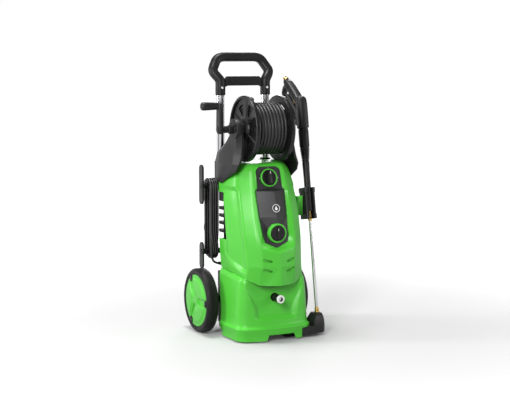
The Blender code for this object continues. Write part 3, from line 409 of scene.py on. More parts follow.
def turned(profile, origin, direction, sides=48, bm=None):
    """A profile of (radius, height) pairs turned round an axis: closed by a radius of 0 at its ends,
    or else a loop."""
    bm = bm or bmesh.new()
    place = standing(origin, direction)
    rows = []
    for radius, height in profile:
        count = 1 if radius == 0 else sides
        angles = [2 * math.pi * i / sides for i in range(count)]
        rows.append([bm.verts.new(place @ Vector((radius * math.cos(a), radius * math.sin(a), height)))
                     for a in angles])
    pairs = list(zip(rows, rows[1:]))
    if profile[0][0] != 0:
        pairs.append((rows[-1], rows[0]))
    for first, second in pairs:
        if len(first) == 1 or len(second) == 1:
            pole, ring = (first[0], second) if len(first) == 1 else (second[0], first)
            for i in range(sides):
                bm.faces.new((pole, ring[i], ring[(i + 1) % sides]))
        else:
            bridge(bm, first, second)
    return bm


def rod(start, end, radius, sides=32, bm=None, edge=0.0006):
    """A round bar with its two rims broken."""
    start, end = Vector(start), Vector(end)
    length = (end - start).length
    profile = [(0, 0), (radius - edge, 0), (radius, edge), (radius, length - edge), (radius - edge, length),
               (0, length)]
    return turned(profile, start, end - start, sides, bm)


def cut_by(made, name, bm):
    """Takes a shape out of a piece with a Boolean, and leaves nothing else in the scene."""
    cutter = placed(name, place_mesh(name, bm))
    change = made.modifiers.new("cut", "BOOLEAN")
    change.operation = "DIFFERENCE"
    change.object = cutter
    change.solver = "EXACT"
    bpy.context.view_layer.update()
    graph = bpy.context.evaluated_depsgraph_get()
    made_mesh = bpy.data.meshes.new_from_object(made.evaluated_get(graph))
    made.modifiers.clear()
    made.data = made_mesh
    show_smooth(made_mesh, 30)
    bpy.data.objects.remove(cutter)


def smooth(route, steps):
    """Points on a Catmull-Rom curve through the route."""
    route = [Vector(p) for p in route]
    ends = [2 * route[0] - route[1], *route, 2 * route[-1] - route[-2]]
    points = []
    for a, b, c, d in zip(ends, ends[1:], ends[2:], ends[3:]):
        for i in range(steps):
            t = i / steps
            points.append(0.5 * (2 * b + (c - a) * t + (2 * a - 5 * b + 4 * c - d) * t * t
                                 + (3 * b - a - 3 * c + d) * t ** 3))
    points.append(route[-1])
    return points


def ramp(value, low, high):
    """0 below low, 1 above high, and a straight rise between."""
    return max(0.0, min(1.0, (value - low) / (high - low)))


def ease(value, low, high):
    """0 below low, 1 above high, and a smooth rise between."""
    t = ramp(value, low, high)
    return t * t * (3 - 2 * t)


def mix(a, b, t):
    """A value between a and b."""
    return a + (b - a) * t


def mirrored(half):
    """A half row, from the middle plane outwards, with its mirror image before it."""
    left = [Vector((-p[0], p[1], p[2])) for p in reversed(half[1:])]
    return left + [Vector(p) for p in half]


def arc(centre, radius, start, end, steps):
    """Points on a circle's arc, with its angles in degrees."""
    angles = [math.radians(start + (end - start) * i / steps) for i in range(steps + 1)]
    return [(centre[0] + radius * math.cos(a), centre[1] + radius * math.sin(a)) for a in angles]


def tube(name, points, radius, made_of, body, *nodes, roundness=5):
    """A round cord along a path."""
    curve = bpy.data.curves.new(name, "CURVE")
    curve.dimensions = "3D"
    curve.bevel_depth = radius
    curve.bevel_resolution = roundness
    curve.use_fill_caps = True
    spline = curve.splines.new("POLY")
    spline.points.add(len(points) - 1)
    for slot, point in zip(spline.points, points):
        slot.co = (*(Vector(point) + ORIGIN), 1.0)
    return declare(placed(name, curve), made_of, body, nodes)


def ribbed(start, pitch, radii, depth, marks):
    """A stretch of a turned profile with one rib for each radius. marks says how far along each rib its
    crown ends, its groove begins and its groove ends."""
    profile = []
    for i, radius in enumerate(radii):
        low = start + pitch * i
        crown_end, groove, groove_end = (low + mark for mark in marks)
        profile += [(radius, low), (radius, crown_end),
                    (radius - depth, groove), (radius - depth, groove_end)]
    return profile


make_camera()
make_floor()
make_lights()
black_card("left_card", (-2.6, -0.3, 0.9), (1.1, 2.6))
black_card("front_card", (0.7, -2.7, 0.9), (1.6, 2.6))
black_card("back_card", (2.2, 1.5, 0.9), (1.6, 2.6))


# ---------------------------------------------------------------- the hose on its reel
HOSE_DIAMETER = 0.0113
HOSE_TURNS = 9
HOSE_LAYERS = (0.0645, 0.0758)
HOSE_PITCH = 0.01143
HOSE_STEPS = 36
JOG_START = 290
JOG_END = 350
HOSE_END = Vector((-0.0415, 0.0225, REEL_Z + 0.0905))
FITTING_START = HOSE_END - 0.0010 * Y_AXIS


def wound_hose():
    """Two layers of turns on the drum. Each turn shifts to the next place low down at the back, and the
    last one climbs on top of the others to its end fitting."""
    left = -HOSE_PITCH * (HOSE_TURNS - 1) / 2
    places = [(HOSE_LAYERS[0], left + HOSE_PITCH * i) for i in range(HOSE_TURNS)]
    places += [(HOSE_LAYERS[1], left + HOSE_PITCH * i) for i in reversed(range(HOSE_TURNS))]
    places.append((HOSE_LAYERS[1] + HOSE_DIAMETER, left + 0.0010))
    points = []
    for (radius, x), (next_radius, next_x) in zip(places, places[1:]):
        for k in range(HOSE_STEPS):
            degrees = JOG_END - 360 + 360 * k / HOSE_STEPS
            t = ease(degrees, JOG_START, JOG_END)
            r = mix(radius, next_radius, t)
            angle = math.radians(degrees)
            points.append(Vector((mix(x, next_x, t), r * math.cos(angle), REEL_Z + r * math.sin(angle))))
    last_radius, last_x = places[-1]
    for k in range(5):
        angle = math.radians(JOG_END - 360 + 10 * k)
        points.append(Vector((last_x, last_radius * math.cos(angle), REEL_Z + last_radius * math.sin(angle))))
    start = points[-1]
    leave = Vector((0, -0.5, 0.866)) * 0.075
    arrive = Vector((0, -1, 0)) * 0.055
    for k in range(1, 13):
        t = k / 12
        points.append((2 * t ** 3 - 3 * t * t + 1) * start + (t ** 3 - 2 * t * t + t) * leave
                      + (3 * t * t - 2 * t ** 3) * HOSE_END + (t ** 3 - t * t) * arrive)
    return points


def hose_fitting():
    """The end of the hose: a ribbed sleeve, a round band and a plain nose."""
    profile = [(0, -0.001), (0.0068, -0.001), (0.0072, 0.000)]
    profile += ribbed(0.002, 0.0042, [0.0078] * 4, 0.0008, (0.0024, 0.0030, 0.0038))
    profile += [(0.0078, 0.0195), (0.0078, 0.0290), (0.0060, 0.0300), (0.0060, 0.0385), (0.0052, 0.0395),
                (0, 0.0395)]
    return piece("hose_end_fitting", turned(profile, FITTING_START, -Y_AXIS, 32),
                 SATIN, "reel", "hose_end")


hose_path = wound_hose()
hose = tube("hose", hose_path, HOSE_DIAMETER / 2, HOSE, "reel", "hose_winding")
hose_fitting()

# ---------------------------------------------------------------- the mains cable on its hooks
CABLE_DIAMETER = 0.0072
HANK_Y = 0.1135
HANK_FOLDS = (0.267, 0.463)
HANK_LAYERS = (0.0202, 0.0274)
HANK_PLACES = [-0.1359 + 0.00723 * i for i in range(4)]
RELIEF_FOOT = Vector((-0.0930, 0.0865, 0.2200))
RELIEF_END = Vector((-0.1130, 0.0865, 0.2240))
GAP = 0.0003
LEAD = [(-0.1185, 0.0865, 0.2252), (-0.1258, 0.0863, 0.2288), (-0.1312, 0.0862, 0.2352),
        (-0.1345, 0.0861, 0.2450), (-0.1357, 0.0861, 0.2560)]
TAIL = [(-0.1356, 0.1416, 0.4500), (-0.1340, 0.1445, 0.4370), (-0.1310, 0.1490, 0.4240),
        (-0.1255, 0.1540, 0.4110), (-0.1185, 0.1590, 0.3990), (-0.1125, 0.1628, 0.3880),
        (-0.1095, 0.1645, 0.3753)]


def hank_turn(before, now, whole=True):
    """Once round the hooks: up the front, over, down the back and under. At its start it shifts over
    from the turn before. Each turn is a (radius, x) pair."""
    low, high = HANK_FOLDS
    points = []
    radius, x = now
    for k in range(10):
        z = mix(low, high, k / 10)
        t = ease(z, low, low + 0.065)
        points.append(Vector((mix(before[1], x, t), HANK_Y - mix(before[0], radius, t), z)))
    for k in range(12):
        angle = math.pi * k / 12
        points.append(Vector((x, HANK_Y - radius * math.cos(angle), high + radius * math.sin(angle))))
    if not whole:
        return points
    points += [Vector((x, HANK_Y + radius, mix(high, low, k / 6))) for k in range(6)]
    for k in range(12):
        angle = math.pi * k / 12
        points.append(Vector((x, HANK_Y + radius * math.cos(angle), low - radius * math.sin(angle))))
    return points


def wound_cable():
    """The lead from the strain relief, two layers of turns round the hooks, and the tail to the plug."""
    inner, outer = HANK_LAYERS
    turns = [(inner, x) for x in HANK_PLACES] + [(outer, x) for x in reversed(HANK_PLACES)]
    start = RELIEF_END + (RELIEF_END - RELIEF_FOOT).normalized() * GAP
    first_x = HANK_PLACES[0]
    points = smooth([start, *LEAD, (first_x, HANK_Y - outer, HANK_FOLDS[0])], 4)[:-1]
    before = (outer, first_x)
    for i, now in enumerate(turns):
        points += hank_turn(before, now, whole=i < len(turns) - 1)
        before = now
    return points + smooth([(first_x, HANK_Y + outer, HANK_FOLDS[1]), *TAIL], 4)


def mains_plug():
    """A round plug with a ribbed grip, and two pins."""
    top = Vector(TAIL[-1]) - GAP * Z_AXIS
    profile = [(0, 0), (0.0050, 0), (0.0058, 0.001)]
    profile += ribbed(0.002, 0.003, [0.0062] * 5, 0.0010, (0.0018, 0.0022, 0.0028))
    profile += [(0.0078, 0.0185), (0.0125, 0.026), (0.0160, 0.033), (0.0178, 0.041), (0.0178, 0.0540),
                (0.0165, 0.056), (0, 0.056)]
    bm = turned(profile, top, -Z_AXIS, 36)
    for side in (-1, 1):
        foot = top + Vector((side * 0.0095, 0, -0.055))
        rod(foot, foot - Vector((0, 0, 0.0198)), 0.0024, 16, bm)
    return piece("mains_plug", bm, SATIN, "washer", "plug")


cable_path = wound_cable()
cable = tube("mains_cable", cable_path, CABLE_DIAMETER / 2, CABLE, "washer", "cable_hank", "cable_lead",
             "cable_tail")
mains_plug()


def strain_relief():
    """The ribbed, tapered sleeve where the cable leaves the housing."""
    way = RELIEF_END - RELIEF_FOOT
    profile = [(0, 0), (0.0074, 0), (0.0075, 0.0008), (0.0075, 0.0035), (0.0060, 0.0042)]
    crowns = [0.0060 - 0.0004 * i for i in range(4)]
    profile += ribbed(0.0055, 0.0036, crowns, 0.0009, (0.0020, 0.0024, 0.0032))
    profile += [(0.0044, way.length), (0, way.length)]
    piece("strain_relief_ribs", turned(profile, RELIEF_FOOT, way, 24), RUBBER, "washer",
          "cable_strain_relief")


strain_relief()

# ---------------------------------------------------------------- front cover
# Its rows from the lower seam up: height, then (x, y) of the frame round the panel, the front corner,
# the side and the rear edge.
COVER = [
    (0.2350, (0.056, -0.1200), (0.1010, -0.0846), (0.1125, -0.010), (0.1120, 0.069)),
    (0.2810, (0.055, -0.1175), (0.1025, -0.0790), (0.1165, -0.010), (0.1160, 0.067)),
    (0.2990, (0.056, -0.1150), (0.1035, -0.0760), (0.1175, -0.010), (0.1170, 0.066)),
    (0.3185, (0.0615, -0.1090), (0.1045, -0.0725), (0.1180, -0.010), (0.1180, 0.066)),
    (0.3850, (0.0610, -0.0890), (0.1050, -0.0570), (0.1180, -0.008), (0.1180, 0.074)),
    (0.4470, (0.0590, -0.0690), (0.1035, -0.0360), (0.1172, 0.004), (0.1172, 0.081)),
    (0.4740, (0.0560, -0.0585), (0.1015, -0.0230), (0.1130, 0.015), (0.1130, 0.0815)),
    (0.5245, (0.0530, -0.0400), (0.0930, -0.0040), (0.1000, 0.030), (0.1005, 0.083)),
    (0.5365, (0.0505, -0.0335), (0.0850, -0.0010), (0.0930, 0.030), (0.0950, 0.083)),
    (0.5425, (0.0480, -0.0250), (0.0780, 0.0020), (0.0880, 0.030), (0.0910, 0.083)),
    (0.5460, (0.0440, -0.0150), (0.0690, 0.0070), (0.0810, 0.030), (0.0850, 0.083)),
    (0.5480, (0.0380, -0.0040), (0.0580, 0.0120), (0.0700, 0.032), (0.0750, 0.083)),
]
# The middle ridge's y: the nose below the panel, and the brow above it.
NOSE = [(0.2350, -0.1335), (0.2810, -0.1300), (0.2925, -0.1270)]
BROW = [(0.5365, -0.0330), (0.5425, -0.0262), (0.5460, -0.0160), (0.5480, -0.0050)]
# The panel's outline: height, half width, edge's y, ridge's y.
PANEL_ROWS = [
    (0.2930, 0.0040, -0.1075, -0.1085), (0.3080, 0.0380, -0.1030, -0.1090),
    (0.3180, 0.0410, -0.1005, -0.1090), (0.3850, 0.0470, -0.0800, -0.1050),
    (0.4640, 0.0490, -0.0575, -0.0868), (0.4730, 0.0420, -0.0553, -0.0553),
    (0.5240, 0.0410, -0.0413, -0.0413), (0.5310, 0.0370, -0.0394, -0.0394),
    (0.5360, 0.0280, -0.0380, -0.0380),
]
COVER_SEAM = [(0, -0.134, 0.1775), (0.012, -0.1310, 0.1775), (0.030, -0.1240, 0.1775),
              (0.060, -0.1080, 0.1785), (0.097, -0.0860, 0.1955), (0.1095, -0.005, 0.2100),
              (0.1085, 0.0710, 0.2120)]
COVER_LOW = 0.2350
AROUND_STEPS = 70
SKIN = 0.0025
PANEL_LOW, PANEL_HIGH = 0.2925, 0.5365
# The pocket's V-shaped edge below the panel: its tip's height, and its rise over its reach.
V_TIP, V_RISE, V_REACH = 0.2765, 0.0175, 0.060
SILL_Y = -0.1095
POCKET_DEPTH = 0.0072
ROW_STEPS = (8, 4, 6, 10)
VENT_LOW, VENT_HIGH = 0.309, 0.454
LOUVRE_X = 0.0385
LOUVRE_HEIGHTS = (0.2240, 0.2545)
LOUVRE_TILT = 12


def between(table, z):
    """The values at height z of rows that start with their height, on straight lines between rows."""
    for low, high in zip(table, table[1:]):
        if z <= high[0]:
            t = max(0.0, (z - low[0]) / (high[0] - low[0]))
            return [mix(Vector(a), Vector(b), t) if isinstance(a, tuple) else mix(a, b, t)
                    for a, b in zip(low[1:], high[1:])]
    return [Vector(a) if isinstance(a, tuple) else a for a in table[-1][1:]]


def filleted(points, reach):
    """An open line with each inner corner rounded over the given reach, at most half a leg."""
    made = [points[0]]
    for i, size in zip(range(1, len(points) - 1), reach):
        before, at, after = points[i - 1], points[i], points[i + 1]
        back = (before - at).normalized() * min(size, 0.49 * (before - at).length)
        on = (after - at).normalized() * min(size, 0.49 * (after - at).length)
        for k in range(9):
            t = k / 8
            made.append(at + (1 - t) ** 2 * back + t * t * on)
    return [*made, points[-1]]


def spread(points, count):
    """count + 1 points at even steps along an open line."""
    lengths = [0.0]
    for a, b in zip(points, points[1:]):
        lengths.append(lengths[-1] + (b - a).length)
    found, i = [], 0
    for k in range(count + 1):
        want = lengths[-1] * k / count
        while i < len(points) - 2 and lengths[i + 1] < want:
            i += 1
        step = lengths[i + 1] - lengths[i]
        t = (want - lengths[i]) / step if step else 0.0
        found.append(points[i].lerp(points[i + 1], min(1.0, t)))
    return found


def flank_recess(y, z, edge_y):
    """How deep the long recess in the cover's flank is: behind the front facet it slopes in, and from
    there its floor rises again to the rear."""
    if z < 0.20 or y < edge_y:
        return 0.0
    behind = y - edge_y
    depth = 0.0100 * ramp(behind, 0.0, 0.019) * mix(1.0, 0.25, ramp(behind, 0.030, 0.090))
    low = mix(0.213, 0.240, ease(y, -0.08, 0.02))
    depth *= ramp(z, low, low + 0.016) * ramp(0.476 - z, 0.0, 0.013)
    rear = mix(-0.004, 0.034, ease(z, 0.232, 0.275))
    return depth * max(ease(z, 0.316, 0.322), 1 - ramp(y, rear - 0.012, rear))


def cover_row(z):
    """A row of the cover's outline, with the bends between the rows rounded over a few centimetres."""
    reach = 0.016 * ease(0.530 - z, 0.0, 0.025) * ease(z, COVER_LOW, 0.2500)
    near = [between(COVER, z + reach * share) for share in (-1.0, -0.6, -0.2, 0.2, 0.6, 1.0)]
    return [sum(points, Vector((0, 0))) / len(near) for points in zip(*near)]


def nose_at(z, frame_at, share):
    """A point on the flat facet between the nose's ridge and the frame."""
    ridge = between(NOSE, z)[0]
    return Vector((0, ridge)).lerp(frame_at, share)


def cover_half(z):
    """Half a row of the front cover at height z: the middle, the panel's pocket, and round to the rear.
    Below the panel the pocket's sill slopes up from a V-shaped edge."""
    frame_at, corner, side, rear = cover_row(z)
    if z <= V_TIP:
        middle = [nose_at(z, frame_at, share) for share in (0, 0.02, 0.04, 0.06)]
    elif z <= PANEL_LOW:
        edge = nose_at(z, frame_at, min(0.98, V_REACH * (z - V_TIP) / V_RISE / frame_at.x))
        share = (z - V_TIP) / (PANEL_LOW - V_TIP)
        start = Vector((0, mix(nose_at(V_TIP, frame_at, 0).y, SILL_Y, share)))
        middle = [start, start.lerp(edge, 0.2), start.lerp(edge, 0.3), edge]
    elif z < PANEL_HIGH:
        half, edge, _ = between(PANEL_ROWS, z)
        half += 0.0010
        reach = mix(0.97 * (frame_at.x - half), 0.0065, ease(z, 0.300, 0.340))
        lip = Vector((half + reach, mix(edge, frame_at.y, mix(1.0, 0.88, ease(z, 0.300, 0.340)))))
        middle = [Vector((0, edge + POCKET_DEPTH)), Vector((half, edge + POCKET_DEPTH)),
                  Vector((half, edge + 0.0006)), lip]
    else:
        ridge = Vector((0, between(BROW, z)[0]))
        middle = [ridge.lerp(frame_at, share) for share in (0, 0.50, 0.55, 0.70)]
    middle.append(frame_at)
    first = []
    for start, end, steps in zip(middle, middle[1:], ROW_STEPS):
        first += spread([start, end], steps)[:-1]
    crease = frame_at.lerp(corner, 0.16) + Vector((0.0010, -0.0014)) * ease(z, 0.24, 0.30)
    around = spread(filleted([frame_at, crease, corner, side, rear], (0.003, 0.012, 0.030)), AROUND_STEPS)
    return [(p[0], p[1], z) for p in first + around], mix(corner.y, crease.y, 0.25)


def cover_lines():
    """Half rows of the cover from its seam up, each with the y behind which the flank recess begins."""
    seam_line = [Vector(p) for p in COVER_SEAM]
    seam = spread(seam_line[:4], sum(ROW_STEPS))[:-1] + spread(seam_line[3:], AROUND_STEPS)
    lowest, edge_y = cover_half(COVER_LOW)
    lines = [([a.lerp(Vector(b), k / 16) for a, b in zip(seam, lowest)], edge_y) for k in range(16)]
    heights = [mix(COVER_LOW, V_TIP, k / 18) for k in range(19)]
    heights += [mix(V_TIP + 0.0002, PANEL_LOW, k / 12) for k in range(13)]
    heights += [mix(PANEL_LOW + 0.0004, PANEL_HIGH - 0.0004, k / 112) for k in range(113)]
    heights += [0.5372, 0.5390, 0.5408, 0.5425, 0.5440, 0.5452, 0.5462, 0.5472, 0.5480]
    for z in heights:
        points, edge_y = cover_half(z)
        lines.append(([Vector(p) for p in points], edge_y))
    return lines


def in_vent(point):
    """Whether a point lies in the open window at the cover's rear edge."""
    return VENT_LOW < point.z < VENT_HIGH and point.y > 0.0165 + 0.173 * (point.z - VENT_LOW)


def louvre_places():
    """Each louvre's side and height."""
    return [(side, z) for side, _ in SIDES for z in LOUVRE_HEIGHTS]


def front_cover():
    """The green front with its louvres."""
    rows = []
    for points, edge_y in cover_lines():
        row = []
        for p in points:
            depth = flank_recess(p.y, p.z, edge_y) if p.x > 0.085 else 0.0
            row.append(Vector((p.x - depth, p.y, p.z)))
        rows.append(mirrored(row))
    bm = bmesh.new()
    made = [[bm.verts.new(p) for p in row] for row in rows]
    for lower, upper in zip(made, made[1:]):
        for i in range(len(lower) - 1):
            if not in_vent((lower[i].co + upper[i + 1].co) / 2):
                bm.faces.new((lower[i], lower[i + 1], upper[i + 1], upper[i]))
    bm.faces.new(made[-1])
    loose = [v for v in bm.verts if not v.link_faces]
    bmesh.ops.delete(bm, geom=loose, context="VERTS")
    cover = piece("front_cover_shell", bm, GREEN, "washer", "front_cover", sharp=50)
    thicken(cover, SKIN)
    outline = [(-0.0145, -0.0028), (0.0120, -0.0056), (0.0152, -0.0030), (0.0145, 0.0046), (-0.0115, 0.0030),
               (-0.0145, 0.0008)]
    slots = bmesh.new()
    backs = bmesh.new()
    for side, z in louvre_places():
        turn = Matrix.Rotation(math.radians(-side * LOUVRE_TILT), 4, "Y")
        place = Matrix.Translation((side * LOUVRE_X, 0, z)) @ turn @ Matrix.Diagonal((side, 1, 1, 1))
        join(slots, prism(outline, "y", -0.150, -0.100), place)
        middle = Vector((side * LOUVRE_X, -0.1170, z))
        box(middle + Vector((-0.018, 0.001, -0.0085)), middle + Vector((0.018, 0.004, 0.0085)), backs)
    cut_by(cover, "slots", slots)
    piece("louvre_backs", backs, GREEN, "washer", bevel=0.001)


# ---------------------------------------------------------------- base skirt
# The skirt's rows from the floor up: height, y on the middle plane, y at SKIRT_NEAR_X, (x, y) before and
# behind the front corner, x of the side at Y = 0, and (x, y) of the rear edge.
SKIRT_NEAR_X = 0.050
SKIRT = [
    (0.0200, -0.1190, -0.1170, (0.1060, -0.1030), (0.1240, -0.0800), 0.1270, (0.1260, 0.036)),
    (0.0300, -0.1206, -0.1186, (0.1078, -0.1048), (0.1262, -0.0812), 0.1292, (0.1282, 0.037)),
    (0.0420, -0.1222, -0.1202, (0.1092, -0.1060), (0.1280, -0.0820), 0.1310, (0.1300, 0.038)),
    (0.0445, -0.1208, -0.1188, (0.1084, -0.1050), (0.1268, -0.0815), 0.1302, (0.1293, 0.038)),
    (0.0500, -0.1138, -0.1122, (0.1054, -0.0994), (0.1226, -0.0788), 0.1266, (0.1256, 0.040)),
    (0.0560, -0.1118, -0.1104, (0.1044, -0.0984), (0.1216, -0.0782), 0.1258, (0.1248, 0.040)),
    (0.0660, -0.1105, -0.1092, (0.1035, -0.0975), (0.1207, -0.0776), 0.1250, (0.1242, 0.041)),
    (0.0860, -0.1085, -0.1072, (0.1030, -0.0960), (0.1200, -0.0770), 0.1245, (0.1235, 0.044)),
    (0.1300, -0.1050, -0.1040, (0.1015, -0.0945), (0.1175, -0.0760), 0.1220, (0.1215, 0.052)),
    (0.1650, -0.1010, -0.1000, (0.1000, -0.0915), (0.1150, -0.0750), 0.1195, (0.1190, 0.060)),
]
SKIRT_ROWS = [(z, (0, middle), (SKIRT_NEAR_X, near), front, corner, (side, 0.0), rear)
              for z, middle, near, front, corner, side, rear in SKIRT]
SKIRT_SHOULDER = [(0, -0.0998, 0.171), (0.050, -0.0988, 0.171), (0.0985, -0.0895, 0.182),
                  (0.1120, -0.0735, 0.190), (0.1165, 0.0, 0.194), (0.1160, 0.067, 0.195)]
SKIRT_SEAM = [(0, -0.0985, 0.1768), (0.050, -0.0975, 0.1768), (0.0965, -0.0860, 0.1945),
              (0.1035, -0.0710, 0.2010), (0.1095, -0.002, 0.2090), (0.1085, 0.0710, 0.2110)]
SKIRT_FILLETS = (0.024, 0.0140, 0.0140, 0.030)
SKIRT_STEPS = 90
RECESS_BACK = -0.0886
FRONT_FOOT_X = 0.133
INLET_Z = 0.135


def front_recess(x, z):
    """How deep the front's tapered recess is: it widens upwards and has a sloping sill."""
    side = mix(0.054, 0.084, ramp(z, 0.080, 0.177) ** 1.4)
    return 0.0155 * ramp(z, 0.066, 0.079) * (1 - ramp(abs(x), side, side + 0.019))


def skirt_line(points):
    """A row of the skirt, with rounded corners."""
    return spread(filleted(points, SKIRT_FILLETS), SKIRT_STEPS)


def skirt_lines():
    """Half rows from the floor up to the shoulder, and over its rounded step to the seam."""
    heights = [0.0045, 0.008, 0.014, 0.020, 0.030, 0.037] + [mix(0.042, 0.165, k / 56) for k in range(57)]
    lines = []
    for z in heights:
        lines.append([Vector((p.x, p.y, z)) for p in skirt_line(between(SKIRT_ROWS, z))])
    below = lines[-1]
    shoulder, seam = (skirt_line([Vector(p) for p in line]) for line in (SKIRT_SHOULDER, SKIRT_SEAM))
    lines += [[a.lerp(b, k / 6) for a, b in zip(below, shoulder)] for k in range(1, 7)]
    for k in range(1, 9):
        t = k / 8
        crown = Vector((0, 0, 0.0022 * math.sin(math.pi * t)))
        lines.append([a.lerp(b, t) + crown for a, b in zip(shoulder, seam)])
    return lines


def base_skirt():
    """The green shell round the machine's base, with its notches and the inlet's hole."""
    bm = bmesh.new()
    made = []
    for line in skirt_lines():
        row = []
        for p in line:
            depth = front_recess(p.x, p.z) if p.y < -0.06 else 0.0
            row.append(Vector((p.x, max(p.y, min(p.y + depth, RECESS_BACK)), p.z)))
        made.append([bm.verts.new(p) for p in mirrored(row)])
    for lower, higher in zip(made, made[1:]):
        bridge(bm, lower, higher, around=False)
    skirt = piece("base_skirt_shell", bm, GREEN, "washer", "base_skirt", sharp=50)
    thicken(skirt, SKIN)
    cuts = rod((0, -0.13, INLET_Z), (0, -0.075, INLET_Z), 0.0135, 40)
    notch = [(-0.043, -0.010), (0.070, -0.010), (0.056, 0.0225), (-0.032, 0.0225)]
    prism(notch, "y", -0.16, -0.09, cuts)
    box((0.087, -0.130, -0.010), (0.150, -0.038, 0.0345), cuts)
    for side, _ in SIDES:
        x = side * FRONT_FOOT_X
        box((x - 0.02, 0.026, -0.01), (x + 0.02, 0.07, 0.0203), cuts)
    cut_by(skirt, "inlet_and_notch", cuts)


def water_inlet():
    """The quick connector: a collar, a ribbed ring and an open bore with a filter inside."""
    front = Vector((0, -0.1340, INLET_Z))
    profile = [(0, 0.0300), (0.0062, 0.030), (0.0062, 0.0008), (0.0072, 0.0), (0.0112, 0.0), (0.0120, 0.0008),
               (0.0120, 0.0055), (0.0102, 0.0085), (0.0100, 0.0215), (0.0116, 0.0245), (0.0118, 0.0255),
               (0.0118, 0.0360), (0.0102, 0.0385), (0.0100, 0.0400), (0.0100, 0.0615), (0, 0.0615)]
    bm = turned(profile, front, Y_AXIS, 40)
    piece("water_inlet_connector", bm, SATIN, "washer", "water_inlet", sharp=30)
    nut = turned([(0.0100, 0.0265), (0.0126, 0.0265), (0.0126, 0.0345), (0.0100, 0.0345)], front, Y_AXIS, 12)
    piece("water_inlet_nut", nut, BLACK, "washer", bevel=0.0004)
    collar = turned([(0.0074, -0.0006), (0.0118, -0.0006), (0.0126, 0.0004), (0.0126, 0.0040), (0.0118, 0.0050),
                     (0.0074, 0.0050)], front, Y_AXIS, 40)
    piece("water_inlet_collar", collar, WHITE, "washer")
    sieve = turned([(0, 0.0060), (0.0058, 0.0060), (0.0058, 0.0085), (0, 0.0085)], front, Y_AXIS, 24)
    piece("water_inlet_sieve", sieve, STEEL, "washer")


front_cover()
base_skirt()
water_inlet()


# ---------------------------------------------------------------- control panel
KNOB = in_machine("power_switch_turn")
KNOB_NORMAL = joint_axis["power_switch_turn"].normalized()
DIAL = in_machine("detergent_turn")


def on_face(bm, origin, normal):
    """Turns a body made round +Z, with its top at +Y, so that it stands on a face."""
    up = (Z_AXIS - normal * normal.z).normalized()
    turn = Matrix((up.cross(normal), up, normal)).transposed().to_4x4()
    bm.transform(Matrix.Translation(origin) @ turn)
    return bm


def panel():
    """The panel itself, and a thin raised rim round its flat upper part."""
    refined("control_panel", PANEL, 0.0016, 4)
    half_width, top, low, round_corner, tight_corner = 0.0385, 0.0315, -0.0285, 0.010, 0.004
    outline = []
    for x, y, radius, start, steps in (
            (half_width, top, round_corner, 0, 8), (-half_width, top, round_corner, 90, 8),
            (-half_width, low, tight_corner, 180, 4), (half_width, low, tight_corner, 270, 4)):
        centre = (x - math.copysign(radius, x), y - math.copysign(radius, y))
        outline += arc(centre, radius, start, start + 90, steps)
    inner = [(x * 0.955, y * 0.955) for x, y in outline]
    bm = bmesh.new()
    levels = [(outline, 0.0), (outline, 0.0007), (inner, 0.0007), (inner, 0.0)]
    rows = [[bm.verts.new((x, y, h)) for x, y in line] for line, h in levels]
    for first, second in zip(rows, [*rows[1:], rows[0]]):
        bridge(bm, first, second)
    piece("panel_rim", on_face(bm, KNOB + 0.0002 * KNOB_NORMAL, KNOB_NORMAL), PANEL, "washer")


def bar_knob(name, origin, normal, radius, body, node, depth, bar, bar_height):
    """A dished disc with a rounded grip bar across it and a pointer mark on the bar."""
    profile = [(0, -depth), (radius - 0.0004, -depth), (radius - 0.0004, 0.0035), (radius - 0.0012, 0.0052),
               (radius - 0.0032, 0.0056), (radius - 0.0046, 0.0040), (0, 0.0034)]
    bm = turned(profile, (0, 0, 0), Z_AXIS, 56)
    half, reach = bar
    rings = []
    for h, shrink in ((0.002, 0.0), (bar_height * 0.75, 0.0006), (bar_height * 0.94, 0.0016),
                      (bar_height, 0.0034)):
        w, r = half - shrink * 0.6, reach - shrink
        outline = arc((0, r - w), w, 0, 180, 10) + arc((0, -r + w), w, 180, 360, 10)
        rings.append([Vector((x, y, h)) for x, y in outline])
    loft(rings, bm)
    piece(name, on_face(bm, origin, normal), BLACK, body, node, sharp=40)
    mark = box((-0.0007, reach * 0.45, bar_height - 0.0002), (0.0007, reach * 0.82, bar_height + 0.0003))
    piece(name + "_mark", on_face(mark, origin, normal), WHITE, body)


def bezel(name, origin, normal, inner, outer, low, high, node):
    """A green bezel with a rounded crown."""
    width = outer - inner
    profile = [(inner, low), (inner, high - 0.0010), (inner + 0.12 * width, high - 0.0002),
               (inner + 0.35 * width, high), (inner + 0.70 * width, high - 0.0006),
               (outer - 0.0003, high - 0.0024), (outer, high - 0.0032), (outer, low)]
    piece(name, on_face(turned(profile, (0, 0, 0), Z_AXIS, 72), origin, normal), GREEN, "washer", node)


def badge():
    """A plain round badge with a water drop, on the panel's ridge."""
    origin, normal = Vector((0, -0.0988, 0.4130)), Vector((0, -0.975, 0.222)).normalized()
    disc = [(0, -0.003), (0.0135, -0.003), (0.0135, 0.0006), (0.0130, 0.0011), (0, 0.0011)]
    hoop = [(0.0108, 0.0009), (0.0126, 0.0009), (0.0125, 0.0016), (0.0109, 0.0016)]
    for name, profile, made_of in (("badge_disc", disc, PANEL), ("badge_hoop", hoop, WHITE)):
        piece(name, on_face(turned(profile, (0, 0, 0), Z_AXIS, 48), origin, normal), made_of, "washer")
    outline = arc((0, -0.0018), 0.0046, 160, 380, 18) + [(0.0018, 0.0042), (0, 0.0076), (-0.0018, 0.0042)]
    drop = prism(outline, "z", 0.0009, 0.0016)
    piece("badge_drop", on_face(drop, origin, normal), WHITE, "washer", bevel=0.0002)


